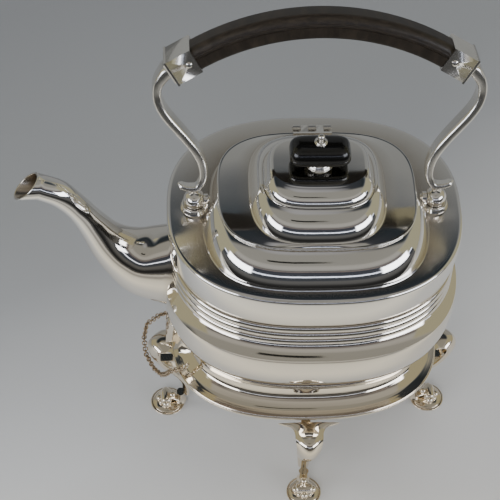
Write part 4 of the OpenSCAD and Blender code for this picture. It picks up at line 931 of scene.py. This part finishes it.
line = threads.node("GeometryNodeResampleCurve", {"mode": "LENGTH"},
                    {"Curve": given.outputs["Geometry"], "Length": given.outputs["Pitch"]})
loop_wire = threads.node("GeometryNodeCurvePrimitiveCircle", None,
                         {"Resolution": link_steps, "Radius": given.outputs["Link radius"]})
loop_skin = threads.node("GeometryNodeCurvePrimitiveCircle", None,
                         {"Resolution": wire_steps, "Radius": given.outputs["Wire radius"]})
link = threads.node("GeometryNodeCurveToMesh", None,
                    {"Curve": loop_wire.outputs["Curve"], "Profile Curve": loop_skin.outputs["Curve"]})
heading = threads.node("GeometryNodeInputTangent")
facing = threads.node("FunctionNodeAlignEulerToVector", {"axis": "X"}, {"Vector": heading.outputs[0]})
number = threads.wire("GeometryNodeInputIndex")
odd = threads.wire("ShaderNodeMath", {"operation": "MODULO"}, [number, 2.0])
roll_turn = odd * (math.pi / 2) + math.pi / 4
roll_angle = threads.node("ShaderNodeCombineXYZ", None, [roll_turn])
spun = threads.node("FunctionNodeRotateEuler", {"rotation_type": "EULER", "space": "LOCAL"},
                    {"Rotation": facing.outputs[0], "Rotate By": roll_angle.outputs[0]})
strung = threads.node("GeometryNodeInstanceOnPoints", None,
                      {"Points": line.outputs[0], "Instance": link.outputs[0],
                       "Rotation": spun.outputs[0]})
real = threads.node("GeometryNodeRealizeInstances", None, {"Geometry": strung.outputs[0]})
smooth = threads.node("GeometryNodeSetShadeSmooth", None, {"Geometry": real.outputs[0]})
painted = threads.node("GeometryNodeSetMaterial", None,
                       {"Geometry": smooth.outputs[0], "Material": given.outputs["Metal"]})
threads.node("NodeGroupOutput", None, [painted.outputs[0]])
route = bpy.data.curves.new("chain_route", "CURVE")
route.dimensions = "3D"
spline = route.splines.new("POLY")
spline.points.add(len(chain_points) - 1)
for point, (x, y, z) in zip(spline.points, chain_points):
    point.co = ((x + KETTLE_X) * MM, y * MM, z * MM, 1.0)
hanging = placed("chain_route", route)
threading = hanging.modifiers.new("links", "NODES")
threading.node_group = tree
chain_metal = silver("chain_silver", tone=(0.50, 0.43, 0.35), rough=0.2, worn=2.0)
for item in tree.interface.items_tree:
    if item.in_out == "INPUT" and item.name != "Geometry":
        threading[item.identifier] = {"Pitch": link_pitch * MM, "Link radius": link_r * MM,
                                      "Wire radius": wire_r * MM, "Metal": chain_metal}[item.name]
bpy.context.view_layer.update()
shaped = hanging.evaluated_get(bpy.context.evaluated_depsgraph_get())
chain_mesh = bpy.data.meshes.new_from_object(shaped)
bpy.data.objects.remove(hanging)
chain = placed("chain_links", chain_mesh)
dress(chain, "stand", chain_metal, instead_of=("pin_chain",))

# ---------------------------------------------------------------------------
# Wick: a plug of woven cotton that stands in the burner's tube, its top edge
# charred brown. It keeps its own solid.
# ---------------------------------------------------------------------------
cotton, p = new_finish("wick_cotton")
place = p.node("ShaderNodeTexCoord").outputs["Object"]
height = Wire(p, p.node("ShaderNodeSeparateXYZ", None, [place]).outputs[2])
weave = p.wire("ShaderNodeTexVoronoi", None, {"Vector": place, "Scale": 1100.0}, "Distance")
colour = p.blend(height.step(0.060, 0.0635), (0.78, 0.72, 0.60, 1.0), (0.10, 0.07, 0.05, 1.0))
bump = p.node("ShaderNodeBump", None, {"Strength": 0.6, "Distance": 0.0004, "Height": weave})
p.surface({"Base Color": colour, "Roughness": 0.9, "Normal": bump.outputs[0]})
for slot_place in range(max(1, len(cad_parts["burner_wick"].data.materials))):
    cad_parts["burner_wick"].material_slots[slot_place].material = cotton
